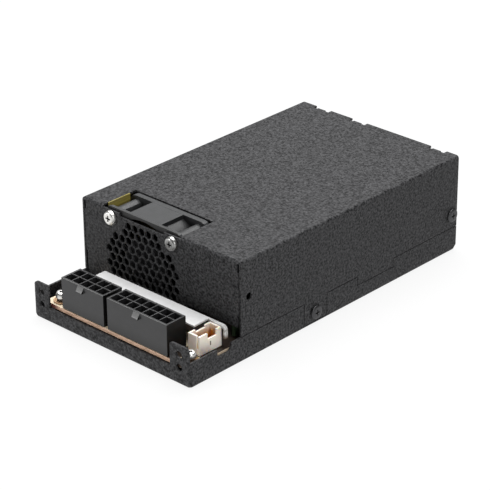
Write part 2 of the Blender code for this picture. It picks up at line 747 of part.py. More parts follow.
def make_cover_screws():
    for side, (low, high, out) in zip(("left", "right"), sides()):
        seat = (low if out < 0 else high) + out * GAP
        for end, (y, z) in zip(("tab", "rear"), lower_screws()):
            bm = bmesh.new()
            add_screw(bm, "X", (0, y, z), seat, out, head_r=SCREW_HEAD_R, head=SCREW_HEAD, shank_r=SCREW_R,
                      reach=SIDE_SCREW_REACH + GAP)
            build(f"cover_screw_{side}_{end}", bm, black_steel(), smooth=True)


def make_fan_frame():
    centre = (FAN_X, 0, FAN_Z)
    near, far = FAN_Y, FAN_REAR
    half = FAN_SIZE / 2
    square = rounded((FAN_X - half, FAN_Z - half), (FAN_X + half, FAN_Z + half), FAN_ROUND)
    bm = bmesh.new()
    add_prism(bm, "Y", square, near, near + FAN_FLANGES[0])
    frame = build("fan_frame", bm, fan_plastic(), smooth=True)

    flange = bmesh.new()
    add_prism(flange, "Y", square, far - FAN_FLANGES[1], far)
    combine(frame, helper("fan_rear_flange", flange), "UNION")
    duct = bmesh.new()
    add_rod(duct, "Y", centre, FAN_BORE_R + FAN_WALL, near + 0.1, far - 0.1, 40)
    combine(frame, helper("fan_duct", duct), "UNION")
    bosses = bmesh.new()
    for x, z in fan_screws():
        add_rod(bosses, "Y", (x, 0, z), FAN_BOSS_R, near + 0.2, far - 0.2, 12)
    combine(frame, helper("fan_bosses", bosses), "UNION")
    lands = bmesh.new()
    land, edge = FAN_LAND, half - 0.05
    cross = [(land, edge), (land, land), (edge, land), (edge, -land), (land, -land), (land, -edge),
             (-land, -edge), (-land, -land), (-edge, -land), (-edge, land), (-land, land), (-land, edge)]
    add_prism(lands, "Y", [(FAN_X + x, FAN_Z + z) for x, z in cross], near + 0.15, far - 0.15)
    combine(frame, helper("fan_lands", lands), "UNION")

    bore = bmesh.new()
    add_rod(bore, "Y", centre, FAN_BORE_R, near - 1, far + 1, 40)
    for x, z in fan_screws():
        add_rod(bore, "Y", (x, 0, z), SCREW_CLEAR, near - 1, far + 1, 12)
    combine(frame, helper("fan_bore", bore))

    spider = bmesh.new()
    add_rod(spider, "Y", centre, FAN_HUB_R, far - FAN_HUB_PLATE, far - 0.1, 24)
    combine(frame, helper("fan_hub_plate", spider), "UNION")
    struts = bmesh.new()
    for k in range(FAN_STRUTS):
        bar = add_prism(struts, "Y", [(FAN_X + FAN_HUB_R - 2, FAN_Z - FAN_STRUT_WIDTH / 2),
                                      (FAN_X + FAN_BORE_R + 0.4, FAN_Z - FAN_STRUT_WIDTH / 2),
                                      (FAN_X + FAN_BORE_R + 0.4, FAN_Z + FAN_STRUT_WIDTH / 2),
                                      (FAN_X + FAN_HUB_R - 2, FAN_Z + FAN_STRUT_WIDTH / 2)],
                        far - FAN_HUB_PLATE + 0.1, far - 0.2)
        verts = list({vert for face in bar for vert in face.verts})
        turn = Matrix.Rotation(math.radians(20 + 360 * k / FAN_STRUTS), 3, "Y")
        bmesh.ops.rotate(struts, verts=verts, cent=place(*centre), matrix=turn)
    combine(frame, helper("fan_struts", struts), "UNION")


def add_blade(bm, start_angle):
    """One swept blade: four radial stations, each a thin slanted section from inlet side to outlet side."""
    hub = place(FAN_X, -FRONT, FAN_Z)
    near, far = FAN_Y + 1.3, FAN_Y + FAN_CUP_DEPTH - 0.4
    root, tip = FAN_HUB_R - 0.4, FAN_BORE_R - FAN_TIP_CLEAR
    rows = []
    for step in range(4):
        radius = root + (tip - root) * step / 3
        sweep = start_angle + math.radians(9) * (step / 3) ** 2
        lean = math.radians(40 - 8 * step / 3)
        thick = 0.75 / radius
        corners = ((near, 0), (far, lean), (far, lean + thick), (near, thick))
        row = []
        for y, turn in corners:
            angle = sweep + turn
            out = Vector((radius * math.cos(angle), y + FRONT, radius * math.sin(angle)))
            row.append(bm.verts.new(hub + MM * out))
        rows.append(row)
    faces = [bm.faces.new(rows[0]), bm.faces.new(rows[-1])]
    for first, second in zip(rows, rows[1:]):
        for k in range(4):
            m = (k + 1) % 4
            faces.append(bm.faces.new((first[k], first[m], second[m], second[k])))
    bmesh.ops.recalc_face_normals(bm, faces=faces)


def make_fan_rotor():
    centre = (FAN_X, 0, FAN_Z)
    near = FAN_Y + 0.8
    rear = near + FAN_CUP_DEPTH
    inner = FAN_HUB_R - FAN_CUP_WALL
    bm = bmesh.new()
    profile = [(0, near), (FAN_HUB_R - 1, near), (FAN_HUB_R, near + 1), (FAN_HUB_R, rear), (inner, rear),
               (inner, near + FAN_CUP_WALL), (0, near + FAN_CUP_WALL)]
    add_turned(bm, "Y", centre, profile, 28)
    impeller = build("fan_impeller", bm, fan_plastic(), smooth=True)
    blades = bmesh.new()
    for k in range(FAN_BLADES):
        add_blade(blades, 2 * math.pi * k / FAN_BLADES)
    combine(impeller, helper("fan_blades", blades), "UNION")

    axis = bpy.data.objects.new("fan_axis", None)
    axis.location = place(FAN_X, FAN_Y, FAN_Z)
    bpy.context.scene.collection.objects.link(axis)

    magnet = bmesh.new()
    add_pipe(magnet, "Y", centre, inner - GAP - MAGNET_WALL, inner - GAP, near + 1.6, rear - 0.6)
    shaft = bmesh.new()
    shaft_end = FAN_REAR - FAN_HUB_PLATE - 2 * GAP
    add_rod(shaft, "Y", centre, SHAFT_R, near + FAN_CUP_WALL + GAP, shaft_end, 10)
    moving = [impeller, build("fan_magnet_ring", magnet, ferrite(), smooth=True),
              build("fan_shaft", shaft, bright_steel(), smooth=True)]
    for piece in moving:
        piece.parent = axis
        piece.matrix_parent_inverse = Matrix.Translation(-axis.location)


def make_fan_motor():
    centre = (FAN_X, 0, FAN_Z)
    plate = FAN_REAR - FAN_HUB_PLATE
    rear = FAN_Y + 0.8 + FAN_CUP_DEPTH
    bearing = bmesh.new()
    add_pipe(bearing, "Y", centre, SHAFT_R + GAP, BEARING_R, FAN_Y + 3.4, plate - GAP, 16)
    build("fan_bearing", bearing, brass_pin(), smooth=True)

    pole_r = FAN_HUB_R - FAN_CUP_WALL - GAP - MAGNET_WALL - 0.5
    stator = bmesh.new()
    outline = []
    for k in range(4):
        turn = math.radians(90 * k)
        arm = ((-45, 4.6), (-18, 5.0), (-14, pole_r - 1.4), (-36, pole_r - 1.2), (-36, pole_r),
               (-12, pole_r), (12, pole_r), (36, pole_r), (36, pole_r - 1.2), (14, pole_r - 1.4), (18, 5.0))
        for degrees, radius in arm:
            angle = turn + math.radians(degrees)
            outline.append((FAN_X + radius * math.cos(angle), FAN_Z + radius * math.sin(angle)))
    add_prism(stator, "Y", outline, rear - 6.6, rear - 1.6)
    core = build("fan_stator", stator, copper())
    hole = bmesh.new()
    add_rod(hole, "Y", centre, BEARING_R + GAP, rear - 8, rear, 16)
    combine(core, helper("fan_stator_hole", hole))

    board = bmesh.new()
    add_pipe(board, "Y", centre, BEARING_R + GAP, pole_r, rear + 0.8, rear + 1.6, 20)
    build("fan_circuit_board", board, green_board(), smooth=True)


def make_fan_screws():
    corners = ("upper_left", "upper_right", "lower_left", "lower_right")
    for corner, (x, z) in zip(corners, fan_screws()):
        bm = bmesh.new()
        add_screw(bm, "Y", (x, 0, z), DECK - GAP, -1, head_r=SCREW_HEAD_R, head=FAN_SCREW_HEAD,
                  shank_r=SCREW_R, reach=FAN_SCREW_LENGTH)
        build(f"fan_screw_{corner}", bm, bright_steel(), smooth=True)


def lead(name, route, radius, material):
    """A flexible lead as a tube along a smooth curve through the route, read at close points."""
    data = bpy.data.curves.new(name, "CURVE")
    data.dimensions = "3D"
    data.bevel_depth = radius * MM
    data.bevel_resolution = 2
    data.use_fill_caps = True
    points = [place(*point) for point in route]
    points = [points[0]] + points + [points[-1]]
    smooth = []
    for a, b, c, d in zip(points, points[1:], points[2:], points[3:]):
        for t in (0.0, 0.25, 0.5, 0.75):
            bend = (2 * a - 5 * b + 4 * c - d) * t * t + (3 * b - a - 3 * c + d) * t ** 3
            smooth.append(0.5 * (2 * b + (c - a) * t + bend))
    smooth.append(points[-1])
    spline = data.splines.new("POLY")
    spline.points.add(len(smooth) - 1)
    for vertex, co in zip(spline.points, smooth):
        vertex.co = (*co, 1.0)
    data.materials.append(material)
    obj = bpy.data.objects.new(name, data)
    bpy.context.scene.collection.objects.link(obj)


def make_fan_lead():
    rear = FAN_REAR + 1.2
    plug_top = SEAT + 4.6
    x = FAN_X + 22.4
    route = [(FAN_X + 8, rear, FAN_Z - 3), (FAN_X + 14, rear, FAN_Z - 5.5),
             (FAN_X + 19, rear + 0.4, FAN_Z - 4.5), (x, rear + 2.4, FAN_Z - 5),
             (x, rear + 4.4, plug_top + 2), (x, rear + 4.8, plug_top + GAP)]
    lead("fan_lead", route, 0.8, finish("lead_red", colour=(0.45, 0.03, 0.03), roughness=0.4))
    y = rear + 4.8
    block("fan_plug", (x - 2.6, y - 2.2, SEAT), (x + 2.6, y + 2.2, plug_top), white_plastic(), bevel=0.3)


def add_board_holes(bm, points, radius):
    for x, y in points:
        add_rod(bm, "Z", (x, y, 0), radius, BOARD_BOTTOM - 1, BOARD_TOP + 1, 12)


def header_pins(left, columns):
    """(x, y) of the pins of a two-row header."""
    start = left + HEADER_RIM + CELL_PITCH / 2
    front = OUTPUT_BOARD_FRONT + HEADER_RIM + CELL_PITCH / 2
    return [(start + i * CELL_PITCH, front + j * CELL_PITCH) for j in range(2) for i in range(columns)]


def header_lefts():
    """(number of columns, left side) of the two output headers."""
    first = 5 * CELL_PITCH + 2 * HEADER_RIM
    return ((5, HEADER_X), (7, HEADER_X + first + HEADER_SPACING))


def signal_pins():
    x = SIGNAL_LOW[0] + SIGNAL_SIZE[0] / 2
    start = SIGNAL_LOW[1] + (SIGNAL_SIZE[1] - 3 * SIGNAL_PITCH) / 2
    return [(x, start + k * SIGNAL_PITCH) for k in range(4)]


def make_boards():
    across, along = OUTPUT_BOARD_CHAMFER
    front = OUTPUT_BOARD_FRONT
    rear = DECK - GAP - FAN_SCREW_HEAD - OUTPUT_BOARD_SETBACK
    end = MAIN_BOARD_FRONT - BOARD_JOINT
    outline = [(OUTPUT_BOARD_LEFT + across, front), (OUTPUT_BOARD_RIGHT - across, front),
               (OUTPUT_BOARD_RIGHT, front + along), (OUTPUT_BOARD_RIGHT, end), (PASSAGE_X + 1, end),
               (PASSAGE_X + 1, rear), (OUTPUT_BOARD_LEFT, rear), (OUTPUT_BOARD_LEFT, front + along)]
    bm = bmesh.new()
    add_prism(bm, "Z", outline, BOARD_BOTTOM, BOARD_TOP)
    output = build("output_board", bm, cream_board())
    holes = bmesh.new()
    add_board_holes(holes, output_fixings(), BOARD_SCREW_R + GAP)
    for columns, left in header_lefts():
        for x, y in header_pins(left, columns):
            half = PIN / 2 + GAP
            add_box(holes, (x - half, y - half, BOARD_BOTTOM - 1), (x + half, y + half, BOARD_TOP + 1))
    for x, y in signal_pins():
        half = SIGNAL_PIN / 2 + GAP
        add_box(holes, (x - half, y - half, BOARD_BOTTOM - 1), (x + half, y + half, BOARD_TOP + 1))
    combine(output, helper("output_board_holes", holes))

    bm = bmesh.new()
    add_box(bm, (MAIN_BOARD_LEFT, MAIN_BOARD_FRONT, BOARD_BOTTOM),
            (MAIN_BOARD_RIGHT, MAIN_BOARD_REAR, BOARD_TOP))
    main = build("main_board", bm, cream_board())
    holes = bmesh.new()
    add_board_holes(holes, main_fixings(), BOARD_SCREW_R + GAP)
    combine(main, helper("main_board_holes", holes))

    bm = bmesh.new()
    bottom = SHEET + 2 * GAP
    add_box(bm, (MAIN_BOARD_LEFT, MAIN_BOARD_FRONT, bottom),
            (MAIN_BOARD_RIGHT, MAIN_BOARD_REAR, bottom + SHEET_INSULATOR))
    sheet = build("insulating_sheet", bm, dark_sleeve())
    holes = bmesh.new()
    for x, y in main_fixings():
        add_rod(holes, "Z", (x, y, 0), STANDOFF_R + GAP, 0, BOARD_BOTTOM, 12)
    combine(sheet, helper("insulating_sheet_holes", holes))


def make_board_screws():
    names = ("output_left", "output_right", "main_front", "main_side", "main_rear")
    for name, (x, y) in zip(names, fixings()):
        bm = bmesh.new()
        add_screw(bm, "Z", (x, y, 0), SEAT, 1, head_r=BOARD_HEAD_R, head=BOARD_HEAD, shank_r=BOARD_SCREW_R,
                  reach=SEAT - BOARD_BOTTOM + STANDOFF_DEPTH - 1, washers=(LOCK_WASHER, WASHER))
        build(f"board_screw_{name}", bm, bright_steel(), smooth=True)


def add_pins(name, pins, places):
    """The pins, joined under the board by their plane of solder."""
    build_pins = build(name, pins, brass_pin())
    solder = bmesh.new()
    xs, ys = zip(*places)
    add_box(solder, (min(xs) - PIN / 2, min(ys) - PIN / 2, BOARD_BOTTOM - GAP - SOLDER),
            (max(xs) + PIN / 2, max(ys) + PIN / 2, BOARD_BOTTOM - GAP))
    combine(build_pins, helper(f"{name}_solder", solder), "UNION")


def make_header(columns, left):
    name = f"output_header_{2 * columns}"
    length = columns * CELL_PITCH + 2 * HEADER_RIM
    depth = 2 * CELL_PITCH + 2 * HEADER_RIM
    front = OUTPUT_BOARD_FRONT
    top = SEAT + HEADER_HEIGHT
    bm = bmesh.new()
    add_box(bm, (left, front, SEAT), (left + length, front + depth, top))
    housing = build(f"{name}_housing", bm, dark_nylon())

    latch = bmesh.new()
    middle = left + length / 2 + LATCH_OFFSETS[columns]
    high = top - LATCH_DROP
    outline = [(front + 0.1, high), (front + 0.1, high - LATCH_TALL),
               (front - LATCH_OUT, high - LATCH_TALL), (front - LATCH_OUT, high - LATCH_TALL + 0.4)]
    add_prism(latch, "X", outline, middle - LATCH_WIDTH / 2, middle + LATCH_WIDTH / 2)
    combine(housing, helper(f"{name}_latch", latch), "UNION")

    cells = bmesh.new()
    shafts = bmesh.new()
    pins = bmesh.new()
    for x, y in header_pins(left, columns):
        half = CELL / 2
        add_box(cells, (x - half, y - half, SEAT + HEADER_FLOOR), (x + half, y + half, top + 1))
        half = PIN / 2 + GAP
        add_box(shafts, (x - half, y - half, SEAT - 1), (x + half, y + half, SEAT + HEADER_FLOOR + 1))
        half = PIN / 2
        add_box(pins, (x - half, y - half, BOARD_BOTTOM - PIN_TAIL),
                (x + half, y + half, SEAT + HEADER_FLOOR + PIN_TOP))
    combine(housing, helper(f"{name}_cells", cells))
    combine(housing, helper(f"{name}_pin_shafts", shafts))
    rows = header_pins(left, columns)
    add_pins(f"{name}_pins", pins, rows)


def make_signal_header():
    x0, y0 = SIGNAL_LOW
    x1, y1 = x0 + SIGNAL_SIZE[0], y0 + SIGNAL_SIZE[1]
    top = SEAT + SIGNAL_SIZE[2]
    floor = SEAT + SIGNAL_FLOOR
    bm = bmesh.new()
    add_box(bm, (x0, y0, SEAT), (x1, y1, top))
    housing = build("signal_header_housing", bm, warm_nylon())
    cuts = bmesh.new()
    add_box(cuts, (x0 + SIGNAL_WALL, y0 + SIGNAL_WALL, floor), (x1 - SIGNAL_WALL, y1 - SIGNAL_WALL, top + 1))
    combine(housing, helper("signal_header_well", cuts))
    start, width, drop = SIGNAL_WINDOW
    windows = bmesh.new()
    add_box(windows, (x1 - SIGNAL_WALL - 0.5, y0 + start, top - drop),
            (x1 + 1, y0 + start + width, top + 1.1))
    near, far, dip = SIGNAL_DIP
    add_box(windows, (x0 - 1, y0 + near, top - dip), (x0 + SIGNAL_WALL + 0.4, y1 - far, top + 1.2))
    slot = x1 - SIGNAL_WALL
    add_box(windows, (slot - SIGNAL_KEY_REACH, y0 - 1, floor + 1), (slot, y0 + SIGNAL_WALL + 0.3, top + 1.3))
    combine(housing, helper("signal_header_windows", windows))
    shafts = bmesh.new()
    pins = bmesh.new()
    for x, y in signal_pins():
        half = SIGNAL_PIN / 2 + GAP
        add_box(shafts, (x - half, y - half, SEAT - 1), (x + half, y + half, floor + 1))
        half = SIGNAL_PIN / 2
        add_box(pins, (x - half, y - half, BOARD_BOTTOM - PIN_TAIL), (x + half, y + half, top - 1.6))
    combine(housing, helper("signal_header_pin_shafts", shafts))
    add_pins("signal_header_pins", pins, signal_pins())


def bridge_line(inset):
    """The bridge's section from its left foot over the top to its short right leg, inset by this much."""
    radius = BRIDGE_BEND - inset
    line = [(BRIDGE_LEFT + inset, SEAT)]
    for x, first in ((BRIDGE_LEFT + BRIDGE_BEND, 180), (BRIDGE_RIGHT - BRIDGE_BEND, 90)):
        for step in range(5):
            angle = math.radians(first - 22.5 * step)
            line.append((x + radius * math.cos(angle), BRIDGE_TOP - BRIDGE_BEND + radius * math.sin(angle)))
    return line + [(BRIDGE_RIGHT - inset, BRIDGE_TOP - BRIDGE_RIGHT_LEG)]


def make_bridge():
    bm = bmesh.new()
    outline = bridge_line(0.0) + list(reversed(bridge_line(BRIDGE_WALL)))
    add_prism(bm, "Y", outline, BRIDGE_FRONT, BRIDGE_REAR)
    bridge = build("insulator_bridge", bm, white_plastic(), smooth=True)
    notch = bmesh.new()
    add_box(notch, (SIGNAL_LOW[0] - BRIDGE_NOTCH_SIDE, BRIDGE_FRONT - 2, SEAT - 2),
            (BRIDGE_RIGHT + 1, BRIDGE_REAR - BRIDGE_WEB, BRIDGE_TOP + 1))
    combine(bridge, helper("bridge_notch", notch))

    middle = (BRIDGE_FRONT + BRIDGE_REAR) / 2
    for k in range(FILTER_CAPS):
        bm = bmesh.new()
        x = BRIDGE_LEFT + (k + 0.5) * FILTER_CAP_SPACING
        add_turned(bm, "Z", (x, middle, 0), capacitor_profile(FILTER_CAP_R, SEAT, FILTER_CAP_HEIGHT), 12)
        build(f"filter_capacitor_{k + 1}", bm, aluminium(), smooth=True)


def capacitor_profile(radius, bottom, height):
    """A crimped can: a groove near its foot and an eased top edge."""
    ease = min(0.5, radius * 0.12)
    top = bottom + height
    return [(0, bottom), (radius, bottom), (radius, bottom + 0.12 * height),
            (radius - ease, bottom + 0.16 * height), (radius, bottom + 0.2 * height), (radius, top - ease),
            (radius - ease, top), (0, top)]


def make_inlet():
    face = LENGTH + GAP + INLET_FLANGE
    rear = LENGTH + GAP - INLET_DEPTH
    bm = bmesh.new()
    outline = inlet_outline(INLET_FLANGE_SIZE[0] / 2, INLET_FLANGE_SIZE[1] / 2, 1.5)
    add_prism(bm, "Y", outline, LENGTH + GAP, face)
    housing = build("inlet_housing", bm, dark_nylon(), smooth=True)
    body = bmesh.new()
    outline = inlet_outline(INLET_BODY[0] / 2, INLET_BODY[1] / 2, INLET_CORNER - GAP)
    add_prism(body, "Y", outline, rear, LENGTH + GAP + 0.5)
    combine(housing, helper("inlet_body", body), "UNION")
    socket = bmesh.new()
    wide, tall = INLET_SOCKET[0] / 2, INLET_SOCKET[1] / 2
    right = [(wide, -tall), (wide, tall - INLET_CORNER), (wide - INLET_CORNER, tall)]
    around = right + [(-x, z) for x, z in reversed(right)]
    outline = [(INLET_X + x, INLET_Z + z) for x, z in around]
    add_prism(socket, "Y", outline, face - INLET_SOCKET_DEPTH, face + 1)
    combine(housing, helper("inlet_socket", socket))

    slots = bmesh.new()
    floor = face - INLET_SOCKET_DEPTH
    drop = -BLADE_LIVE_DROP
    for name, side, rise in (("live", -1, drop), ("earth", 0, BLADE_EARTH_RISE), ("neutral", 1, drop)):
        x, z = INLET_X + side * BLADE_SPACING, INLET_Z + rise
        w, h = BLADE[0] / 2, BLADE[1] / 2
        add_box(slots, (x - w - GAP, rear - 1, z - h - GAP), (x + w + GAP, floor + 1, z + h + GAP))
        back, foot = rear - TERMINAL_LENGTH, rear - TERMINAL_LENGTH + TERMINAL_FOOT
        outline = [(back, SEAT), (foot, SEAT), (foot, z - h), (floor + BLADE_REACH, z - h),
                   (floor + BLADE_REACH, z + h), (back, z + h)]
        bm = bmesh.new()
        add_prism(bm, "X", outline, x - w, x + w)
        build(f"inlet_blade_{name}", bm, bright_steel())
    combine(housing, helper("inlet_blade_slots", slots))


def make_transformer():
    x0, y0 = on_board(TRANSFORMER_AT)
    x1, y1 = x0 + TRANSFORMER_SIZE[0], y0 + TRANSFORMER_SIZE[1]
    top = INNER_TOP - TRANSFORMER_HEADROOM
    mid = ((x0 + x1) / 2, (y0 + y1) / 2, 0)
    bottom, ceiling = SEAT + CORE_PLATE, top - CORE_PLATE
    bm = bmesh.new()
    add_box(bm, (x0, y0, SEAT), (x1, y1, top))
    core = build("transformer_core", bm, ferrite())
    window = bmesh.new()
    add_box(window, (x0 + CORE_LEG, y0 - 1, bottom), (x1 - CORE_LEG, y1 + 1, ceiling))
    combine(core, helper("transformer_window", window))
    post = bmesh.new()
    add_rod(post, "Z", mid, CORE_POST_R, bottom - 0.5, ceiling + 0.5, 16)
    combine(core, helper("transformer_post", post), "UNION")
    winding = bmesh.new()
    outer = (x1 - x0) / 2 - CORE_LEG - GAP
    add_pipe(winding, "Z", mid, CORE_POST_R + GAP, outer, bottom + GAP, ceiling - GAP, 24)
    build("transformer_winding", winding, copper(), smooth=True)
    tape = bmesh.new()
    skin = GAP + TAPE_WALL
    add_box(tape, (x0 - skin, y0 - skin, SEAT + TAPE_FOOT), (x1 + skin, y1 + skin, top - TAPE_DROP))
    band = build("transformer_tape", tape, yellow_tape())
    inside = bmesh.new()
    add_box(inside, (x0 - GAP, y0 - GAP, SEAT), (x1 + GAP, y1 + GAP, top + 1))
    combine(band, helper("transformer_tape_inside", inside))


def stand(name, corner, size, material, bevel, lift=0.0):
    """A block-shaped part on the main board, with its left front corner at that place."""
    low = (*corner, SEAT + lift)
    block(name, low, tuple(a + b for a, b in zip(low, size)), material, bevel)


def make_inductors():
    stand("resonant_inductor", on_board(RESONANT_AT), RESONANT_SIZE, yellow_tape(), 0.8)
    stand("standby_transformer", on_board(STANDBY_AT), STANDBY_SIZE, yellow_tape(), 0.8)
    coils = (("boost_inductor", "Z", BOOST_COIL_AT, BOOST_COIL, BOOST_COIL[2] / 2),
             ("line_filter_choke", "X", CHOKE_AT, CHOKE, CHOKE[1]))
    for name, axis, at, (inner, outer, width), rise in coils:
        bm = bmesh.new()
        half = width / 2
        profile = [(inner, COIL_EASE - half), (inner + COIL_EASE, -half), (outer - COIL_EASE, -half),
                   (outer, COIL_EASE - half), (outer, half - COIL_EASE), (outer - COIL_EASE, half),
                   (inner + COIL_EASE, half), (inner, half - COIL_EASE)]
        add_turned(bm, axis, (*on_board(at), SEAT + rise + COIL_LIFT), profile, 16, ring=True)
        build(name, bm, copper(), smooth=True)


def make_capacitors():
    bulk = bmesh.new()
    add_turned(bulk, "Z", (*on_board(BULK_AT), 0), capacitor_profile(BULK_R, SEAT, BULK_HEIGHT), 20)
    build("bulk_capacitor", bulk, dark_sleeve(), smooth=True)
    for k, at in enumerate(OUTPUT_CAPS_AT):
        can = bmesh.new()
        profile = capacitor_profile(OUTPUT_CAP_R, SEAT, OUTPUT_CAP_HEIGHT)
        add_turned(can, "Z", (*on_board(at), 0), profile, 12)
        build(f"output_capacitor_{k + 1}", can, aluminium(), smooth=True)
    stand("line_capacitor", by_rear(LINE_CAP_AT), LINE_CAP_SIZE, yellow_tape(), 0.5)
    disc = bmesh.new()
    radius, half = SAFETY_CAP_R, SAFETY_CAP_HALF
    profile = [(0, -half), (radius - 0.6, -half), (radius, 0.6 - half / 2), (radius, half - 0.9),
               (radius - 0.6, half), (0, half)]
    add_turned(disc, "Y", (*by_rear(SAFETY_CAP_AT), SEAT + radius + COIL_LIFT), profile, 14)
    build("safety_capacitor", disc, blue_epoxy(), smooth=True)


def make_power_devices():
    """Two finned plates standing on the main board, each with a transistor against its right face."""
    for name, (left, front, rear, headroom) in (("boost", BOOST_SINK), ("rectifier", RECTIFIER_SINK)):
        x, y0 = on_board((left, front))
        y1 = y0 + rear - front
        pitch = (y1 - y0 - FIN_WALL) / (FINS - 1)
        outline = [(x + SINK_WALL, y0), (x + SINK_WALL, y1)]
        for k in range(FINS):
            y = y1 - k * pitch
            outline += [(x - FIN_LENGTH, y), (x - FIN_LENGTH, y - FIN_WALL)]
            if k < FINS - 1:
                outline += [(x, y - FIN_WALL), (x, y - pitch)]
        bm = bmesh.new()
        add_prism(bm, "Z", outline, SEAT, INNER_TOP - headroom)
        build(f"{name}_heatsink", bm, aluminium())
        face, middle = x + SINK_WALL + GAP, (y0 + y1) / 2
        foot = SEAT + TRANSISTOR_FOOT
        shoulder = foot + TRANSISTOR_BODY[1]
        body, tab = face + TRANSISTOR_BODY[0], face + TRANSISTOR_TAB[0]
        end = shoulder + TRANSISTOR_TAB[1]
        outline = [(face, foot), (body, foot), (body, shoulder), (tab, shoulder), (tab, end), (face, end)]
        bm = bmesh.new()
        add_prism(bm, "Y", outline, middle - TRANSISTOR_HALF, middle + TRANSISTOR_HALF)
        build(f"{name}_transistor", bm, dark_nylon())


def make_small_parts():
    stand("bridge_rectifier", on_board(BRIDGE_RECTIFIER_AT), BRIDGE_RECTIFIER_SIZE, dark_nylon(), 0.5,
          lift=BRIDGE_RECTIFIER_LEGS)
    across_joint = -(BUS_BAR_SIZE[1] + BOARD_JOINT / 2) / 2
    stand("bus_bar", on_board((BUS_BAR_X, across_joint)), BUS_BAR_SIZE, copper(), 0.3)
    right = WIDTH - SHEET - CONTROL_BOARD_GAP
    front = DECK + SHEET + 2 * GAP
    length, height = CONTROL_BOARD_SIZE
    block("control_board", (right - CONTROL_BOARD, front, SEAT), (right, front + length, SEAT + height),
          green_board())
    fuse = bmesh.new()
    neck = FUSE_R - FUSE_NECK
    barrel = FUSE_HALF - FUSE_CAP
    profile = [(0, -FUSE_HALF), (FUSE_R, -FUSE_HALF), (FUSE_R, -barrel), (neck, -barrel), (neck, barrel),
               (FUSE_R, barrel), (FUSE_R, FUSE_HALF), (0, FUSE_HALF)]
    add_turned(fuse, "X", (*by_rear(FUSE_AT), SEAT + FUSE_R + COIL_LIFT), profile, 12)
    build("fuse", fuse, bright_steel(), smooth=True)


def main():
    clear_scene()
    make_top_cover()
    make_base_tray()
    make_cover_screws()
    make_fan_frame()
    make_fan_rotor()
    make_fan_motor()
    make_fan_screws()
    make_fan_lead()
    make_boards()
    make_board_screws()
    for columns, left in header_lefts():
        make_header(columns, left)
    make_signal_header()
    make_bridge()
    make_inlet()
    make_transformer()
    make_inductors()
    make_capacitors()
    make_power_devices()
    make_small_parts()


main()
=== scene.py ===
import math

import bpy
from mathutils import Matrix, Vector


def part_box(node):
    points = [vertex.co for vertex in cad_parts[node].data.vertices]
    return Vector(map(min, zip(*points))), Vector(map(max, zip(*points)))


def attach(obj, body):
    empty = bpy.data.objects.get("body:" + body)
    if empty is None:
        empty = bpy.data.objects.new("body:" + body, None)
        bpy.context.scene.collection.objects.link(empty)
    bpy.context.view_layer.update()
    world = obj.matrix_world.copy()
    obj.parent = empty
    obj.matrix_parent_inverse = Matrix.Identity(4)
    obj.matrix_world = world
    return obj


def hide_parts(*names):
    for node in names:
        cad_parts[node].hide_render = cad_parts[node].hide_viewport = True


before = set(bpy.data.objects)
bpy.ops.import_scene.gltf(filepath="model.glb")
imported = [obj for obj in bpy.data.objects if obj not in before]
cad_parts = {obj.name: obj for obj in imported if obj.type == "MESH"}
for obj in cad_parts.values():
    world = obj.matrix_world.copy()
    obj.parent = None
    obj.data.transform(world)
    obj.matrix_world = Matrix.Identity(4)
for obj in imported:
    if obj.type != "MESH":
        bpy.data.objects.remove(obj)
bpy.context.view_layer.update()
MM = 0.001

# ---- Top cover --------------------------------------------------------------------------------------------
# The lid is one 0.8 mm steel sheet, cut and bent into a top, two sides and a front plate with a honeycomb
# over the fan. It has a fine-textured matt black powder coat, which rounds every cut edge a little.

COAT_EDGE = 0.14 * MM
COAT_BUMP = 0.14 * MM
COAT_DARK = (0.004, 0.004, 0.0045)
COAT_PALE = (0.085, 0.085, 0.088)
COAT_GRAINS = (1.15, 3.2)
SPECK_SHARE = 0.45
SAME_POINT = 0.002 * MM
BEVEL_ABOVE = math.radians(30)
SHARP_ABOVE = math.radians(40)


def only(piece):
    """Makes this piece the one that operators act on."""
    bpy.ops.object.select_all(action="DESELECT")
    piece.select_set(True)
    bpy.context.view_layer.objects.active = piece


def copy_of(node, name):
    """A copy of a CAD piece's mesh, with its loose triangles merged."""
    piece = bpy.data.objects.new(name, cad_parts[node].data.copy())
    bpy.context.scene.collection.objects.link(piece)
    piece.data.materials.clear()
    only(piece)
    bpy.ops.object.mode_set(mode="EDIT")
    bpy.ops.mesh.select_all(action="SELECT")
    bpy.ops.mesh.remove_doubles(threshold=SAME_POINT)
    bpy.ops.object.mode_set(mode="OBJECT")
    return piece


def apply(piece, kind, **settings):
    """Adds one modifier with these settings and applies it."""
    only(piece)
    modifier = piece.modifiers.new(kind.lower(), kind)
    for key, value in settings.items():
        setattr(modifier, key, value)
    bpy.ops.object.modifier_apply(modifier=modifier.name)


def ease_edges(piece, width, segments=2):
    """Rounds the sharp edges by the width, and keeps the flats looking flat."""
    apply(piece, "BEVEL", width=width, segments=segments, limit_method="ANGLE",
          angle_limit=BEVEL_ABOVE, miter_outer="MITER_ARC", use_clamp_overlap=True)
    bpy.ops.object.shade_smooth_by_angle(angle=SHARP_ABOVE)
    apply(piece, "WEIGHTED_NORMAL", keep_sharp=True, weight=100)


def new_finish(name):
    """A new finish, with its nodes, its shader and a point on the piece in millimetres."""
    finish = bpy.data.materials.new(name)
    finish.use_nodes = True
    nodes, links = finish.node_tree.nodes, finish.node_tree.links
    shader = nodes["Principled BSDF"]
    place = nodes.new("ShaderNodeTexCoord")
    scale = nodes.new("ShaderNodeMapping")
    scale.inputs["Scale"].default_value = (1 / MM, 1 / MM, 1 / MM)
    links.new(place.outputs["Object"], scale.inputs["Vector"])
    return finish, nodes, links, shader, scale.outputs["Vector"]


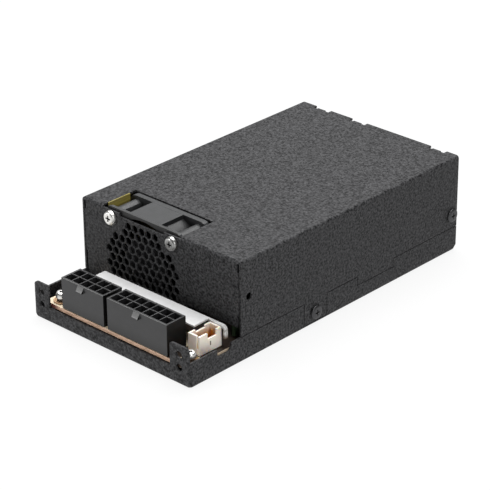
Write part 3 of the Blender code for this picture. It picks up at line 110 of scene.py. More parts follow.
def noise(nodes, links, point, per_mm, detail=2.0, stretch=None):
    """Noise with this many grains to the millimetre, drawn out along an axis if stretch says so."""
    found = nodes.new("ShaderNodeTexNoise")
    found.inputs["Scale"].default_value = per_mm
    found.inputs["Detail"].default_value = detail
    if stretch:
        drawn = nodes.new("ShaderNodeMapping")
        drawn.inputs["Scale"].default_value = stretch
        links.new(point, drawn.inputs["Vector"])
        point = drawn.outputs["Vector"]
    links.new(point, found.inputs["Vector"])
    return found.outputs["Fac"]


def between(nodes, links, factor, low, high, start=0.3, end=0.7):
    """A colour from low to high, or a number, as the factor goes from start to end."""
    if isinstance(low, tuple):
        ramp = nodes.new("ShaderNodeValToRGB")
        ramp.color_ramp.elements[0].position, ramp.color_ramp.elements[1].position = start, end
        ramp.color_ramp.elements[0].color = (*low, 1.0)
        ramp.color_ramp.elements[1].color = (*high, 1.0)
        links.new(factor, ramp.inputs["Fac"])
        return ramp.outputs["Color"]
    ranged = nodes.new("ShaderNodeMapRange")
    ranged.inputs["From Min"].default_value, ranged.inputs["From Max"].default_value = start, end
    ranged.inputs["To Min"].default_value, ranged.inputs["To Max"].default_value = low, high
    links.new(factor, ranged.inputs["Value"])
    return ranged.outputs["Result"]


def along(nodes, links, point, axis, start, end):
    """0 before the start and 1 past the end of a span along an axis, in millimetres."""
    parts = nodes.new("ShaderNodeSeparateXYZ")
    links.new(point, parts.inputs["Vector"])
    return between(nodes, links, parts.outputs[axis], 0.0, 1.0, start, end)


def product(nodes, links, first, *others):
    """The factors multiplied together."""
    for other in others:
        times = nodes.new("ShaderNodeMath")
        times.operation = "MULTIPLY"
        links.new(first, times.inputs[0])
        links.new(other, times.inputs[1])
        first = times.outputs[0]
    return first


def blend(nodes, links, factor, first, second):
    """The first colour where the factor is 0 and the second where it is 1. Either may come from a node."""
    mix = nodes.new("ShaderNodeMix")
    mix.data_type = "RGBA"
    links.new(factor, mix.inputs["Factor"])
    for socket, colour in ((mix.inputs[6], first), (mix.inputs[7], second)):
        if isinstance(colour, tuple):
            socket.default_value = (*colour, 1.0)
        else:
            links.new(colour, socket)
    return mix.outputs[2]


def raise_grain(nodes, links, shader, factor, height, strength=1.0):
    """Bumps the surface by the factor, to this height in metres."""
    bump = nodes.new("ShaderNodeBump")
    bump.inputs["Distance"].default_value = height
    bump.inputs["Strength"].default_value = strength
    links.new(factor, bump.inputs["Height"])
    links.new(bump.outputs["Normal"], shader.inputs["Normal"])


def powder_coat():
    """Matt black paint with a fine crinkle of paler and darker grains."""
    finish, nodes, links, shader, point = new_finish("black_powder_coat")
    grain = noise(nodes, links, point, COAT_GRAINS[0], detail=3.0)
    speck = noise(nodes, links, point, COAT_GRAINS[1])
    mixed = nodes.new("ShaderNodeMath")
    mixed.operation = "MULTIPLY_ADD"
    mixed.inputs[1].default_value = SPECK_SHARE
    links.new(speck, mixed.inputs[0])
    links.new(grain, mixed.inputs[2])
    links.new(between(nodes, links, mixed.outputs[0], COAT_DARK, COAT_PALE, 0.55, 0.95),
              shader.inputs["Base Color"])
    links.new(between(nodes, links, grain, 0.5, 0.68), shader.inputs["Roughness"])
    shader.inputs["Specular IOR Level"].default_value = 0.15
    raise_grain(nodes, links, shader, mixed.outputs[0], COAT_BUMP)
    return finish


coat = powder_coat()
cover = copy_of("top_cover", "cover_sheet")
ease_edges(cover, COAT_EDGE)
cover.data.materials.append(coat)
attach(cover, "chassis")
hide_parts("top_cover")

# ---- Base tray --------------------------------------------------------------------------------------------
# The other sheet is the tray: floor, low skirts with a stepped seam, a front lip with two drilled ears, and
# the rear wall. It is the same coated steel, with board standoffs pressed up out of the floor and its four
# lower corners cut off where three folds would meet.

CORNER_CUT = 2.25 * MM

tray = copy_of("base_tray", "tray_sheet")
low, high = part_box("base_tray")
only(tray)
for y, back in ((low.y, -1), (high.y, 1)):
    for x, across in ((low.x, -1), (high.x, 1)):
        bpy.ops.object.mode_set(mode="EDIT")
        bpy.ops.mesh.select_all(action="SELECT")
        bpy.ops.mesh.bisect(plane_co=(x - across * CORNER_CUT, y, low.z), plane_no=(across, back, -1),
                            use_fill=True, clear_outer=True)
        bpy.ops.object.mode_set(mode="OBJECT")
ease_edges(tray, COAT_EDGE)
tray.data.materials.append(coat)
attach(tray, "chassis")
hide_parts("base_tray")

# ---- Screws -----------------------------------------------------------------------------------------------
# M3 pan-head screws with a cross recess. The four at the sides are blackened and hold the cover to the tray,
# and the four nickel-plated ones go through the front plate into the corners of the fan.

HEAD_RADIUS = 2.85 * MM
SHANK_RADIUS = 1.45 * MM
SIDE_HEAD, SIDE_REACH = 0.8 * MM, 2.5 * MM
FAN_HEAD, FAN_REACH = 1.4 * MM, 9.0 * MM
HEAD_SIDE = 0.42
HEAD_STEPS = ((0.07, 0.30), (0.13, 0.18), (0.22, 0.08))
HEAD_EDGE = 0.035
ROUND = 32
RECESS_REACH = 0.44
RECESS_BLADE = 0.10
RECESS_MIDDLE = 0.75
RECESS_FOOT = 0.55
# Painted shade down in the cross recess: its faces above this share of the head's height get a dark copy of
# the metal.
RECESS_SHADE_FROM = 0.2
RECESS_SHADE_BELOW = 0.1 * MM


def plated(name, colour, roughness, wear):
    """Plated or blackened metal with a little handling wear."""
    finish, nodes, links, shader, point = new_finish(name)
    mottle = noise(nodes, links, point, 2.5, detail=3.0)
    worn = tuple(min(1.0, part * wear) for part in colour)
    links.new(between(nodes, links, mottle, colour, worn), shader.inputs["Base Color"])
    links.new(between(nodes, links, mottle, roughness * 0.8, roughness * 1.3), shader.inputs["Roughness"])
    shader.inputs["Metallic"].default_value = 1.0
    raise_grain(nodes, links, shader, mottle, 0.01 * MM, 0.4)
    return finish


nickel = plated("bright_nickel", (0.86, 0.85, 0.82), 0.38, 0.85)
blackened = plated("black_oxide", (0.06, 0.06, 0.062), 0.42, 1.5)
# A darker copy of the nickel, as painted shade on the fan screws at the right.
shaded_nickel = plated("shaded_nickel", (0.40, 0.40, 0.39), 0.34, 0.8)
# A near-black metal, used as painted shade in the screws' cross recesses.
recess_shade = plated("recess_shade", (0.05, 0.05, 0.05), 0.6, 1.4)


def screw(name, radius, head, shank, reach, centre, out, finish):
    """A pan-head screw whose head stands on the centre point and faces out."""
    bpy.ops.object.select_all(action="DESELECT")
    bpy.ops.mesh.primitive_cylinder_add(vertices=ROUND, radius=radius, depth=head * HEAD_SIDE,
                                        location=(0, 0, head * HEAD_SIDE / 2))
    piece = bpy.context.object
    piece.name = name
    bpy.ops.object.mode_set(mode="EDIT")
    bpy.ops.mesh.select_all(action="DESELECT")
    bpy.ops.object.mode_set(mode="OBJECT")
    for face in piece.data.polygons:
        face.select = face.normal.z > 0.9
    bpy.ops.object.mode_set(mode="EDIT")
    for inward, up in HEAD_STEPS:
        bpy.ops.mesh.inset(thickness=radius * inward, depth=head * up)
    bpy.ops.mesh.select_all(action="DESELECT")
    bpy.ops.object.mode_set(mode="OBJECT")
    stretch = head / max(vertex.co.z for vertex in piece.data.vertices)
    for vertex in piece.data.vertices:
        vertex.co.z *= stretch
    for face in piece.data.polygons:
        face.select = face.normal.z < -0.9
    bpy.ops.object.mode_set(mode="EDIT")
    bpy.ops.mesh.inset(thickness=radius - shank)
    bpy.ops.mesh.extrude_region_move(TRANSFORM_OT_translate={"value": (0, 0, -reach)})
    bpy.ops.object.mode_set(mode="OBJECT")

    bpy.ops.object.select_all(action="DESELECT")
    bits = []
    for turn in (0, 90):
        bpy.ops.mesh.primitive_cube_add(size=1.0, location=(0, 0, head * RECESS_MIDDLE),
                                        rotation=(0, 0, math.radians(turn)))
        bit = bpy.context.object
        bit.scale = (radius * 2 * RECESS_REACH, radius * 2 * RECESS_BLADE, head)
        bpy.ops.object.transform_apply(location=True, rotation=True, scale=True)
        for vertex in bit.data.vertices:
            if vertex.co.z < head * RECESS_MIDDLE:
                vertex.co.x *= RECESS_FOOT
                vertex.co.y *= RECESS_FOOT
        bits.append(bit)
    for bit in bits:
        apply(piece, "BOOLEAN", object=bit, operation="DIFFERENCE", solver="EXACT")
        bpy.data.objects.remove(bit)
    ease_edges(piece, radius * HEAD_EDGE, segments=1)
    piece.data.materials.append(finish)
    piece.data.materials.append(recess_shade)
    # The faces down in the cross recess get the painted shade.
    for face in piece.data.polygons:
        across = math.hypot(face.center.x, face.center.y)
        if across < radius * RECESS_REACH and head * RECESS_SHADE_FROM < face.center.z < head - RECESS_SHADE_BELOW:
            face.material_index = 1
    only(piece)
    turn = Vector((0, 0, 1)).rotation_difference(Vector(out))
    piece.matrix_world = Matrix.Translation(centre) @ turn.to_matrix().to_4x4()
    bpy.ops.object.transform_apply(location=True, rotation=True, scale=True)
    return piece


def middle(node):
    """The centre of a CAD piece's box."""
    low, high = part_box(node)
    return (low + high) / 2


for side, out in (("left", -1), ("right", 1)):
    for end in ("tab", "rear"):
        node = f"cover_screw_{side}_{end}"
        low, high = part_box(node)
        outer = high.x if out > 0 else low.x
        seat = middle(node)
        seat.x = outer - out * SIDE_HEAD
        piece = screw(f"side_screw_{side}_{end}", HEAD_RADIUS, SIDE_HEAD, SHANK_RADIUS, SIDE_REACH, seat,
                      (out, 0, 0), blackened)
        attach(piece, "chassis")
        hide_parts(node)

for corner in ("upper_left", "upper_right", "lower_left", "lower_right"):
    node = f"fan_screw_{corner}"
    seat = middle(node)
    seat.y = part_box(node)[0].y + FAN_HEAD
    # The right pair is the same nickel, painted darker as shade.
    finish = nickel if corner.endswith("left") else shaded_nickel
    piece = screw(f"fan_fixing_{corner}", HEAD_RADIUS, FAN_HEAD, SHANK_RADIUS, FAN_REACH, seat, (0, -1, 0),
                  finish)
    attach(piece, "chassis")
    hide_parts(node)

# ---- Fan --------------------------------------------------------------------------------------------------
# A 40 mm axial fan moulded in glass-filled plastic: a flanged frame with screw bosses beside a round duct,
# and an impeller whose cup carries a magnet ring and shaft round a wound stator and a sleeve bearing. There
# is a strip of tape down its left side.

CLOUD_PER_MM = 0.35
FINE_PER_MM = 6.0
FAN_EDGE = 0.16 * MM
WHEEL_EDGE = 0.12 * MM
FAN_GREYS = ((0.018, 0.019, 0.020), (0.026, 0.027, 0.029))
FAN_SHADE = (0.004, 0.004, 0.004)
TAPE = 0.2 * MM
TAPE_EDGE = 0.06 * MM
TAPE_INSETS = (1.5 * MM, 2.3 * MM)
TAPE_DROP = 7.2 * MM
TAPE_OLIVE = (0.40, 0.33, 0.08)
WHEEL_BLACK = (0.004, 0.004, 0.0045)


def moulded(name, colour, roughness, height=0.02, specular=0.5):
    """Moulded plastic with a faint mottle and a fine grain."""
    finish, nodes, links, shader, point = new_finish(name)
    cloud = noise(nodes, links, point, CLOUD_PER_MM, detail=3.0)
    fine = noise(nodes, links, point, FINE_PER_MM)
    paler = tuple(min(1.0, part * 1.25) for part in colour)
    links.new(between(nodes, links, cloud, colour, paler), shader.inputs["Base Color"])
    links.new(between(nodes, links, fine, roughness * 0.88, roughness * 1.12), shader.inputs["Roughness"])
    shader.inputs["Specular IOR Level"].default_value = specular
    raise_grain(nodes, links, shader, fine, height * MM, 0.5)
    return finish


def dress(node, finish):
    """A CAD piece whose shape is right gets its finish."""
    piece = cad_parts[node]
    piece.data.materials.clear()
    piece.data.materials.append(finish)


def fan_plastic():
    """Dark glass-filled plastic, with painted shade making it black on the face behind the front plate and
    down inside the duct.
    """
    finish, nodes, links, shader, point = new_finish("fan_plastic")
    cloud = noise(nodes, links, point, CLOUD_PER_MM, detail=3.0)
    fine = noise(nodes, links, point, FINE_PER_MM)
    grey = between(nodes, links, cloud, *FAN_GREYS)
    low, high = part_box("fan_frame")
    behind_face = along(nodes, links, point, "Y", low.y / MM + 0.1, low.y / MM + 0.5)
    near_top = along(nodes, links, point, "Z", high.z / MM - 5.0, high.z / MM - 1.5)
    # Painted shade: black on the front face and below the top of the duct.
    links.new(blend(nodes, links, product(nodes, links, behind_face, near_top), FAN_SHADE, grey),
              shader.inputs["Base Color"])
    links.new(between(nodes, links, fine, 0.4, 0.5), shader.inputs["Roughness"])
    raise_grain(nodes, links, shader, fine, 0.02 * MM, 0.5)
    return finish


def taped(name, colour):
    """Layers of polyester tape, with their overlaps."""
    finish, nodes, links, shader, point = new_finish(name)
    lap = noise(nodes, links, point, 0.6, detail=2.0, stretch=(0.15, 0.15, 3.0))
    darker = tuple(part * 0.72 for part in colour)
    links.new(between(nodes, links, lap, darker, colour, 0.42, 0.58), shader.inputs["Base Color"])
    shader.inputs["Roughness"].default_value = 0.28
    shader.inputs["Coat Weight"].default_value = 0.3
    raise_grain(nodes, links, shader, lap, 0.05 * MM)
    return finish


housing = copy_of("fan_frame", "fan_housing")
ease_edges(housing, FAN_EDGE)
housing.data.materials.append(fan_plastic())
low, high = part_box("fan_frame")
front, rear = low.y + TAPE_INSETS[0], high.y - TAPE_INSETS[1]
bpy.ops.object.select_all(action="DESELECT")
bpy.ops.mesh.primitive_cube_add(size=1.0, location=(low.x, (front + rear) / 2, high.z - TAPE_DROP / 2))
strip = bpy.context.object
strip.scale = (TAPE * 2, rear - front, TAPE_DROP)
bpy.ops.object.transform_apply(location=True, rotation=True, scale=True)
ease_edges(strip, TAPE_EDGE, segments=1)
strip.data.materials.append(taped("olive_tape", TAPE_OLIVE))
strip.select_set(True)
housing.select_set(True)
bpy.context.view_layer.objects.active = housing
bpy.ops.object.join()
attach(housing, "chassis")
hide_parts("fan_frame")

wheel = copy_of("fan_impeller", "fan_wheel")
ease_edges(wheel, WHEEL_EDGE)
wheel.data.materials.append(moulded("fan_wheel_plastic", WHEEL_BLACK, 0.5, specular=0.15))
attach(wheel, "fan_rotor")
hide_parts("fan_impeller")

dress("fan_magnet_ring", moulded("magnet_rubber", (0.06, 0.055, 0.05), 0.7))
dress("fan_shaft", nickel)
dress("fan_bearing", plated("sintered_bronze", (0.50, 0.34, 0.18), 0.5, 0.8))
dress("fan_circuit_board", moulded("fan_board_mask", (0.03, 0.12, 0.05), 0.35))


def wound(name, colour, fineness, direction):
    """Enamelled wire, with the ridges of its turns across this direction."""
    finish, nodes, links, shader, point = new_finish(name)
    ridge = nodes.new("ShaderNodeTexWave")
    ridge.bands_direction = direction
    ridge.inputs["Scale"].default_value = fineness / 6.0
    ridge.inputs["Distortion"].default_value = 0.6
    ridge.inputs["Detail"].default_value = 1.0
    links.new(point, ridge.inputs["Vector"])
    darker = tuple(part * 0.35 for part in colour)
    links.new(between(nodes, links, ridge.outputs["Fac"], darker, colour, 0.05, 0.6),
              shader.inputs["Base Color"])
    shader.inputs["Roughness"].default_value = 0.32
    shader.inputs["Metallic"].default_value = 0.55
    raise_grain(nodes, links, shader, ridge.outputs["Fac"], 0.15 * MM)
    return finish


dress("fan_stator", wound("stator_wire", (0.62, 0.27, 0.11), 5.0, "Y"))
dress("fan_lead", moulded("lead_insulation", (0.42, 0.02, 0.02), 0.38))
dress("fan_plug", moulded("plug_nylon", (0.72, 0.70, 0.66), 0.45))

# ---- Output board and its screws --------------------------------------------------------------------------
# The board on the open deck carries the connectors. Its laminate is cream on top, and its sawn edge shows
# tan glass cloth. A nickel-plated screw holds it at each front corner, over a lock washer and a grooved
# ring. The main board inside the case is of the same laminate and has three such screws.

CREAMS = ((0.62, 0.50, 0.34), (0.80, 0.70, 0.54))
BOARD_DARK = (0.030, 0.020, 0.014)
CREAM_CORNER = (32.0, -67.3)
DARK_REAR = (-19.0, -57.25)
TANS = ((0.38, 0.23, 0.14), (0.75, 0.50, 0.36))
RED_VARNISH = (0.11, 0.02, 0.01)
EDGE_SHADED = (0.05, 0.03, 0.02)
EDGE_PALE = (0.72, 0.58, 0.42)
RED_UNTIL = (-30.5, -27.5)
SHADED_FROM = (30.0, 31.0)
PALE_FROM = (37.5, 38.2)
BOARD_EDGE = 0.06 * MM
BOARD_HEAD_RADIUS = 2.15 * MM
BOARD_HEAD = 1.7 * MM
BOARD_SHANK_RADIUS = 1.15 * MM
BOARD_REACH = 6.4 * MM
LOCK_WASHER = (1.65 * MM, 1.6 * MM)
WASHER_EDGE = 0.12 * MM
RING = (3.05 * MM, 0.4 * MM)
RING_GROOVES = ((0.35, -0.12), (0.2, 0.12), (0.25, -0.12), (0.2, 0.12))
GROOVE_SLOPE = 0.05 * MM


def board_top():
    """Cream laminate, darker at the right and the rear, and cream again at the front right corner."""
    finish, nodes, links, shader, point = new_finish("board_top")
    cloud = noise(nodes, links, point, 0.5, detail=4.0)
    cream = between(nodes, links, cloud, *CREAMS)
    header_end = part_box("output_header_14_housing")[1].x / MM
    right = along(nodes, links, point, "X", header_end - 1.0, header_end - 0.5)
    x, y = DARK_REAR
    rear = product(nodes, links, along(nodes, links, point, "X", x - 1.0, x + 1.0),
                   along(nodes, links, point, "Y", y - 0.75, y + 0.75))
    x, y = CREAM_CORNER
    corner = product(nodes, links, along(nodes, links, point, "X", x - 0.2, x + 0.2),
                     along(nodes, links, point, "Y", y + 0.2, y - 0.2))
    darkened = blend(nodes, links, rear, blend(nodes, links, right, cream, BOARD_DARK), BOARD_DARK)
    links.new(blend(nodes, links, corner, darkened, cream), shader.inputs["Base Color"])
    shader.inputs["Roughness"].default_value = 0.42
    weave = noise(nodes, links, point, FINE_PER_MM, detail=1.0)
    raise_grain(nodes, links, shader, weave, 0.02 * MM, 0.5)
    return finish


def board_edge():
    """The sawn edge: tan cloth in streaks along it, dark red at the left end and shaded near the right."""
    finish, nodes, links, shader, point = new_finish("board_edge")
    streak = noise(nodes, links, point, 1.0, detail=4.0, stretch=(0.5, 0.5, 4.0))
    tan = between(nodes, links, streak, *TANS, 0.35, 0.6)
    reddened = blend(nodes, links, along(nodes, links, point, "X", *RED_UNTIL), RED_VARNISH, tan)
    shaded = blend(nodes, links, along(nodes, links, point, "X", *SHADED_FROM), reddened, EDGE_SHADED)
    links.new(blend(nodes, links, along(nodes, links, point, "X", *PALE_FROM), shaded, EDGE_PALE),
              shader.inputs["Base Color"])
    links.new(between(nodes, links, streak, 0.4, 0.7), shader.inputs["Roughness"])
    raise_grain(nodes, links, shader, streak, 0.03 * MM)
    return finish


laminate = board_top()
sawn = board_edge()


def board(node, name):
    """A board with its flat faces and its sawn edges in their own finishes."""
    piece = copy_of(node, name)
    ease_edges(piece, BOARD_EDGE, segments=1)
    piece.data.materials.append(laminate)
    piece.data.materials.append(sawn)
    for face in piece.data.polygons:
        face.material_index = 0 if abs(face.normal.z) > 0.5 else 1
    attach(piece, "chassis")
    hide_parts(node)


board("output_board", "deck_board")
board("main_board", "inner_board")
dress("insulating_sheet", moulded("polyester_film", (0.02, 0.02, 0.024), 0.25, height=0.005))
dress("control_board", moulded("control_board_mask", (0.035, 0.060, 0.030), 0.4))

dark_steel = plated("dark_steel", (0.16, 0.15, 0.14), 0.4, 1.5)
copper_ring = plated("tinned_copper", (0.40, 0.27, 0.17), 0.42, 1.5)


def washer(size, top, finish, grooves=()):
    """A round washer under this top point, with grooves turned in its face."""
    radius, thick = size
    bpy.ops.object.select_all(action="DESELECT")
    bpy.ops.mesh.primitive_cylinder_add(vertices=ROUND, radius=radius, depth=thick,
                                        location=(top.x, top.y, top.z - thick / 2))
    piece = bpy.context.object
    if grooves:
        bpy.ops.object.mode_set(mode="EDIT")
        bpy.ops.mesh.select_all(action="DESELECT")
        bpy.ops.object.mode_set(mode="OBJECT")
        for face in piece.data.polygons:
            face.select = face.normal.z > 0.9
        bpy.ops.object.mode_set(mode="EDIT")
        for inward, up in grooves:
            bpy.ops.mesh.inset(thickness=inward * MM, depth=0)
            bpy.ops.mesh.inset(thickness=GROOVE_SLOPE, depth=up * MM)
        bpy.ops.object.mode_set(mode="OBJECT")
    else:
        ease_edges(piece, WASHER_EDGE)
    piece.data.materials.append(finish)
    return piece


for place in ("output_left", "output_right", "main_front", "main_side", "main_rear"):
    node = f"board_screw_{place}"
    seat = middle(node)
    seat.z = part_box(node)[1].z - BOARD_HEAD
    piece = screw(f"board_fixing_{place}", BOARD_HEAD_RADIUS, BOARD_HEAD, BOARD_SHANK_RADIUS, BOARD_REACH,
                  seat, (0, 0, 1), nickel)
    under = Vector((seat.x, seat.y, seat.z - LOCK_WASHER[1]))
    stack = [piece, washer(LOCK_WASHER, seat, dark_steel), washer(RING, under, copper_ring, RING_GROOVES)]
    bpy.ops.object.select_all(action="DESELECT")
    for part in stack:
        part.select_set(True)
    bpy.context.view_layer.objects.active = piece
    bpy.ops.object.join()
    bpy.ops.object.transform_apply(location=True, rotation=True, scale=True)
    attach(piece, "chassis")
    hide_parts(node)

# ---- Output headers ---------------------------------------------------------------------------------------
# Two shrouded headers, 2 x 5 and 2 x 7 cells on a 4.2 mm pitch, moulded in satin dark nylon, with a latch
# ramp on the front wall. Their tinned pins are soldered through the board.

HEADER_EDGE = 0.1 * MM
NYLON_GREYS = ((0.019, 0.019, 0.020), (0.024, 0.024, 0.025))
NYLON_FOOT_SHADE = (0.005, 0.005, 0.005)
FOOT_SHADE_HEIGHTS = (12.5, 8.5)
LATCH_REACH = 0.9 * MM
END_DEPTH = 0.05 * MM
RAMP_AREA = 0.5 * MM * MM


def dark_nylon():
    """Satin dark nylon, with painted shade darkening it down by the board."""
    finish, nodes, links, shader, point = new_finish("dark_nylon")
    cloud = noise(nodes, links, point, CLOUD_PER_MM, detail=3.0)
    fine = noise(nodes, links, point, FINE_PER_MM)
    grey = between(nodes, links, cloud, *NYLON_GREYS)
    # Painted shade: darker towards the board.
    foot = along(nodes, links, point, "Z", *FOOT_SHADE_HEIGHTS)
    links.new(blend(nodes, links, foot, grey, NYLON_FOOT_SHADE), shader.inputs["Base Color"])
    links.new(between(nodes, links, fine, 0.32, 0.40), shader.inputs["Roughness"])
    raise_grain(nodes, links, shader, fine, 0.012 * MM, 0.5)
    return finish


nylon = dark_nylon()
# A paler copy of the nylon, as a painted highlight on the latch ramps.
ramp_highlight_nylon = moulded("ramp_highlight_nylon", (0.14, 0.14, 0.14), 0.34, height=0.012)
# A near-black copy of the nylon, as painted shade on the headers' right ends and beside the latches.
shaded_nylon = moulded("shaded_nylon", (0.004, 0.004, 0.004), 0.45, height=0.012, specular=0.15)
tin = plated("tinned_pins", (0.62, 0.60, 0.56), 0.3, 0.8)
for size in (10, 14):
    node = f"output_header_{size}_housing"
    piece = copy_of(node, f"header_{size}_body")
    ease_edges(piece, HEADER_EDGE)
    piece.data.materials.append(nylon)
    piece.data.materials.append(ramp_highlight_nylon)
    piece.data.materials.append(shaded_nylon)
    low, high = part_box(node)
    for face in piece.data.polygons:
        # Painted shade on the latch's right side and on the header's right end.
        beside_latch = face.center.y < low.y + LATCH_REACH and face.normal.x > 0.5
        if beside_latch or face.center.x > high.x - END_DEPTH:
            face.material_index = 2
        # The latch ramp faces get the painted highlight.
        if -0.95 < face.normal.y < -0.2 and face.normal.z > 0.2 and face.area > RAMP_AREA:
            face.material_index = 1
    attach(piece, "chassis")
    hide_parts(node)
    dress(f"output_header_{size}_pins", tin)

# ---- Signal header ----------------------------------------------------------------------------------------
# A small four-way header in ivory nylon, open at the top, with a deep cut in its right wall, a shallow one
# in its left wall and a key slot in its front end. Its pins are gold-plated.

IVORIES = ((0.90, 0.81, 0.71), (0.95, 0.88, 0.79))
AMBER_GLOW = (0.55, 0.25, 0.06)
NICK_SHADE = (0.10, 0.07, 0.05)
NICK_Y = (-62.05, -61.5)
NICK_Z = (10.8, 12.5)
IVORY_WALL = 0.65
IVORY_EDGE = 0.12 * MM


def ivory_nylon():
    """Ivory nylon that lets some light through, with a painted amber glow down inside and painted shade for
    a nick in its right wall.
    """
    finish, nodes, links, shader, point = new_finish("ivory_nylon")
    cloud = noise(nodes, links, point, CLOUD_PER_MM, detail=3.0)
    ivory = between(nodes, links, cloud, *IVORIES)
    low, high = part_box("signal_header_housing")
    # Painted glow: amber down inside the walls.
    inside = [along(nodes, links, point, "Z", high.z / MM - 0.6, high.z / MM - 4.5)]
    for axis, start, end in (("X", low.x, high.x), ("Y", low.y, high.y)):
        first, last = start / MM + IVORY_WALL, end / MM - IVORY_WALL
        inside.append(along(nodes, links, point, axis, first - 0.05, first + 0.05))
        inside.append(along(nodes, links, point, axis, last + 0.05, last - 0.05))
    deep = blend(nodes, links, product(nodes, links, *inside), ivory, AMBER_GLOW)
    # Painted shade for the nick in the right wall.
    nick = [along(nodes, links, point, "X", high.x / MM - 0.15, high.x / MM - 0.05)]
    for axis, (first, last) in (("Y", NICK_Y), ("Z", NICK_Z)):
        nick.append(along(nodes, links, point, axis, first - 0.1, first + 0.1))
        nick.append(along(nodes, links, point, axis, last + 0.1, last - 0.1))
    links.new(blend(nodes, links, product(nodes, links, *nick), deep, NICK_SHADE), shader.inputs["Base Color"])
    shader.inputs["Roughness"].default_value = 0.4
    shader.inputs["Subsurface Weight"].default_value = 0.3
    shader.inputs["Subsurface Radius"].default_value = (1.0, 0.6, 0.3)
    shader.inputs["Subsurface Scale"].default_value = 1.0 * MM
    fine = noise(nodes, links, point, FINE_PER_MM)
    raise_grain(nodes, links, shader, fine, 0.01 * MM, 0.5)
    return finish


piece = copy_of("signal_header_housing", "signal_header_body")
ease_edges(piece, IVORY_EDGE)
piece.data.materials.append(ivory_nylon())
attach(piece, "chassis")
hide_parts("signal_header_housing")
dress("signal_header_pins", plated("gold_pins", (0.90, 0.62, 0.22), 0.28, 0.9))

# ---- Insulating bridge ------------------------------------------------------------------------------------
# A strip of matt white sheet folded down at both ends. It stands on the board behind the headers and keeps
# fingers and tools off the filter capacitors under it.

WHITES = ((0.62, 0.62, 0.62), (0.68, 0.68, 0.68))
FOLD_GREY = (0.26, 0.24, 0.21)
SHEET_FOOT_SHADE = (0.10, 0.06, 0.035)
FOLD_GREY_X = (35.0, 38.5)
SHEET_FOOT_SHADE_X = (35.8, 36.4)
SHEET_FOOT_SHADE_Z = (13.5, 11.6)
SHEET_WAVE = 0.6 * MM
SHEET_EDGE = 0.08 * MM
STRIP_FROM = 33.0 * MM
STRIP_CLEAR = 2.0 * MM
STRIP_WIDER = 0.7 * MM
ON_EDGE = 0.05 * MM


def white_sheet():
    """Matt white sheet with shallow waves, greyer in patches by its right fold, and with painted shade
    darkening its right foot.
    """
    finish, nodes, links, shader, point = new_finish("white_sheet")
    cloud = noise(nodes, links, point, 0.25, detail=3.0)
    white = between(nodes, links, cloud, *WHITES)
    smear = noise(nodes, links, point, 0.9, detail=4.0)
    by_fold = product(nodes, links, along(nodes, links, point, "X", *FOLD_GREY_X),
                      between(nodes, links, smear, 0.0, 0.8, 0.4, 0.6))
    greyed = blend(nodes, links, by_fold, white, FOLD_GREY)
    # Painted shade: the right foot darkens towards the board.
    foot = product(nodes, links, along(nodes, links, point, "X", *SHEET_FOOT_SHADE_X),
                   along(nodes, links, point, "Z", *SHEET_FOOT_SHADE_Z))
    links.new(blend(nodes, links, foot, greyed, SHEET_FOOT_SHADE), shader.inputs["Base Color"])
    shader.inputs["Roughness"].default_value = 0.55
    wave = noise(nodes, links, point, 0.3, detail=1.0)
    raise_grain(nodes, links, shader, wave, SHEET_WAVE, 0.4)
    return finish


piece = copy_of("insulator_bridge", "bridge_strip")
behind = min(vertex.co.y for vertex in piece.data.vertices if vertex.co.x > STRIP_FROM + STRIP_CLEAR)
for vertex in piece.data.vertices:
    if vertex.co.x > STRIP_FROM and abs(vertex.co.y - behind) < ON_EDGE:
        vertex.co.y -= STRIP_WIDER
ease_edges(piece, SHEET_EDGE)
piece.data.materials.append(white_sheet())
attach(piece, "chassis")
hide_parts("insulator_bridge")


def bare_can():
    """Drawn aluminium with faint lines round it."""
    finish, nodes, links, shader, point = new_finish("bare_can")
    lines = noise(nodes, links, point, 1.0, detail=3.0, stretch=(0.2, 0.2, 6.0))
    links.new(between(nodes, links, lines, (0.55, 0.55, 0.56), (0.78, 0.78, 0.79)),
              shader.inputs["Base Color"])
    links.new(between(nodes, links, lines, 0.3, 0.45), shader.inputs["Roughness"])
    shader.inputs["Metallic"].default_value = 1.0
    return finish


can = bare_can()
sleeve = moulded("shrink_sleeve", (0.006, 0.006, 0.008), 0.4, height=0.005)
for name in ("filter_capacitor_1", "filter_capacitor_2"):
    dress(name, sleeve)
for name in ("output_capacitor_1", "output_capacitor_2"):
    dress(name, can)

# ---- Mains inlet ------------------------------------------------------------------------------------------
# A three-blade inlet, moulded in black thermoset, is clipped through the rear wall. Its nickel-plated blades
# run through to legs that stand on the main board.

INLET_EDGE = 0.2 * MM

piece = copy_of("inlet_housing", "inlet_body")
ease_edges(piece, INLET_EDGE)
piece.data.materials.append(moulded("inlet_plastic", (0.025, 0.025, 0.026), 0.45))
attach(piece, "chassis")
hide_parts("inlet_housing")
for name in ("live", "earth", "neutral"):
    node = f"inlet_blade_{name}"
    piece = copy_of(node, f"blade_{name}")
    ease_edges(piece, INLET_EDGE)
    piece.data.materials.append(nickel)
    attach(piece, "chassis")
    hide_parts(node)

# ---- Converter parts --------------------------------------------------------------------------------------
# The parts inside the case, each on the main board: the wound parts, the capacitors, the finned plates with
# their transistors, the bridge rectifier, the fuse and the copper bar that feeds the output board.


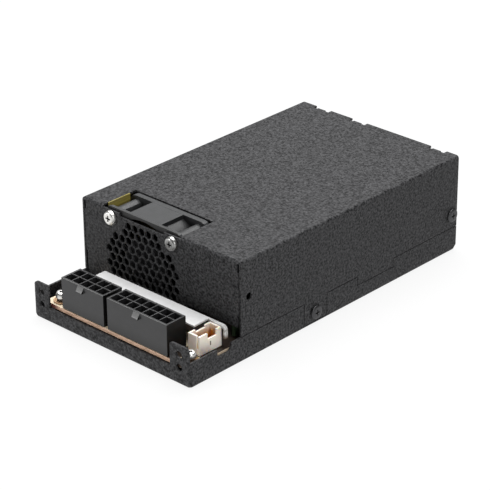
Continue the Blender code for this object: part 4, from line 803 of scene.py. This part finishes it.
tape = taped("yellow_tape", (0.16, 0.115, 0.02))
for name in ("transformer_tape", "resonant_inductor", "standby_transformer", "line_capacitor"):
    dress(name, tape)
dress("transformer_core", moulded("ground_ferrite", (0.045, 0.045, 0.05), 0.62, height=0.03))
dress("transformer_winding", wound("transformer_wire", (0.55, 0.24, 0.10), 2.4, "Z"))
dress("boost_inductor", wound("boost_wire", (0.60, 0.25, 0.10), 1.4, "X"))
dress("line_filter_choke", wound("choke_wire", (0.66, 0.30, 0.12), 1.4, "Y"))
dress("bulk_capacitor", sleeve)
dress("safety_capacitor", moulded("dipped_epoxy", (0.04, 0.16, 0.42), 0.25))


def extruded():
    """Extruded aluminium, with the die's lines up it."""
    finish, nodes, links, shader, point = new_finish("extruded_aluminium")
    lines = noise(nodes, links, point, 2.0, detail=3.0, stretch=(2.0, 2.0, 0.08))
    links.new(between(nodes, links, lines, (0.46, 0.47, 0.48), (0.68, 0.69, 0.70)),
              shader.inputs["Base Color"])
    links.new(between(nodes, links, lines, 0.3, 0.5), shader.inputs["Roughness"])
    shader.inputs["Metallic"].default_value = 1.0
    raise_grain(nodes, links, shader, lines, 0.02 * MM)
    return finish


plate = extruded()
dress("boost_heatsink", plate)
dress("rectifier_heatsink", plate)
epoxy = moulded("moulded_epoxy", (0.03, 0.03, 0.032), 0.5)
for name in ("boost_transistor", "rectifier_transistor", "bridge_rectifier"):
    dress(name, epoxy)
dress("fuse", nickel)
dress("bus_bar", plated("bare_copper", (0.72, 0.36, 0.18), 0.34, 0.7))

# ---- Floor, light and camera ------------------------------------------------------------------------------
# A plain white floor just under the case, a wide soft light overhead, three weaker ones round about, and the
# camera in front of the right corner.

FLOOR_SIZE = 40.0
FLOOR_GAP = 0.02 * MM
FLOOR_GREY = 0.08
FLOOR_GLOW = 0.88
WORLD_GLOW = 0.08

bpy.ops.object.select_all(action="DESELECT")
bpy.ops.mesh.primitive_plane_add(size=FLOOR_SIZE, location=(0, 0, -FLOOR_GAP))
floor = bpy.context.object
floor.name = "floor"
pale = bpy.data.materials.new("pale_floor")
pale.use_nodes = True
paint = pale.node_tree.nodes["Principled BSDF"]
paint.inputs["Base Color"].default_value = (FLOOR_GREY, FLOOR_GREY, FLOOR_GREY, 1.0)
paint.inputs["Roughness"].default_value = 0.9
paint.inputs["Specular IOR Level"].default_value = 0.1
paint.inputs["Emission Color"].default_value = (1.0, 1.0, 1.0, 1.0)
paint.inputs["Emission Strength"].default_value = FLOOR_GLOW
floor.data.materials.append(pale)


def soft_light(name, power, size, place):
    """A square light of this power and size, turned towards the case."""
    light = bpy.data.lights.new(name, "AREA")
    light.energy = power
    light.size = size
    holder = bpy.data.objects.new(name, light)
    bpy.context.scene.collection.objects.link(holder)
    holder.location = place
    holder.rotation_euler = Vector(place).to_track_quat("Z", "Y").to_euler()


soft_light("overhead", 51.0, 1.6, (-0.25, 0.35, 1.5))
soft_light("far_left", 2.0, 0.9, (-1.05, 1.1, 0.8))
soft_light("left_front", 8.5, 0.4, (-1.2, -1.4, 0.45))
soft_light("right_side", 4.5, 0.4, (1.2, -0.5, 0.6))

world = bpy.data.worlds.new("studio")
world.use_nodes = True
world.node_tree.nodes["Background"].inputs["Color"].default_value = (1.0, 1.0, 1.0, 1.0)
world.node_tree.nodes["Background"].inputs["Strength"].default_value = WORLD_GLOW
bpy.context.scene.world = world
bpy.context.scene.view_settings.view_transform = "Standard"

AZIMUTH, ELEVATION, ROLL = math.radians(43.415), math.radians(26.517), -0.0084
PLACE = Vector((0.51607, -0.54982, 0.39154))
LENS, SENSOR = 161.74, 36.0
right = Vector((math.cos(AZIMUTH), math.sin(AZIMUTH), 0.0))
level = math.cos(ELEVATION)
back = Vector((math.sin(AZIMUTH) * level, -math.cos(AZIMUTH) * level, math.sin(ELEVATION)))
up = back.cross(right)
lens = bpy.data.cameras.new("camera")
lens.lens = LENS
lens.sensor_width = SENSOR
camera = bpy.data.objects.new("camera", lens)
bpy.context.scene.collection.objects.link(camera)
turned = Matrix((right, up, back)).transposed() @ Matrix.Rotation(ROLL, 3, "Z")
camera.matrix_world = Matrix.Translation(PLACE) @ turned.to_4x4()
bpy.context.scene.camera = camera
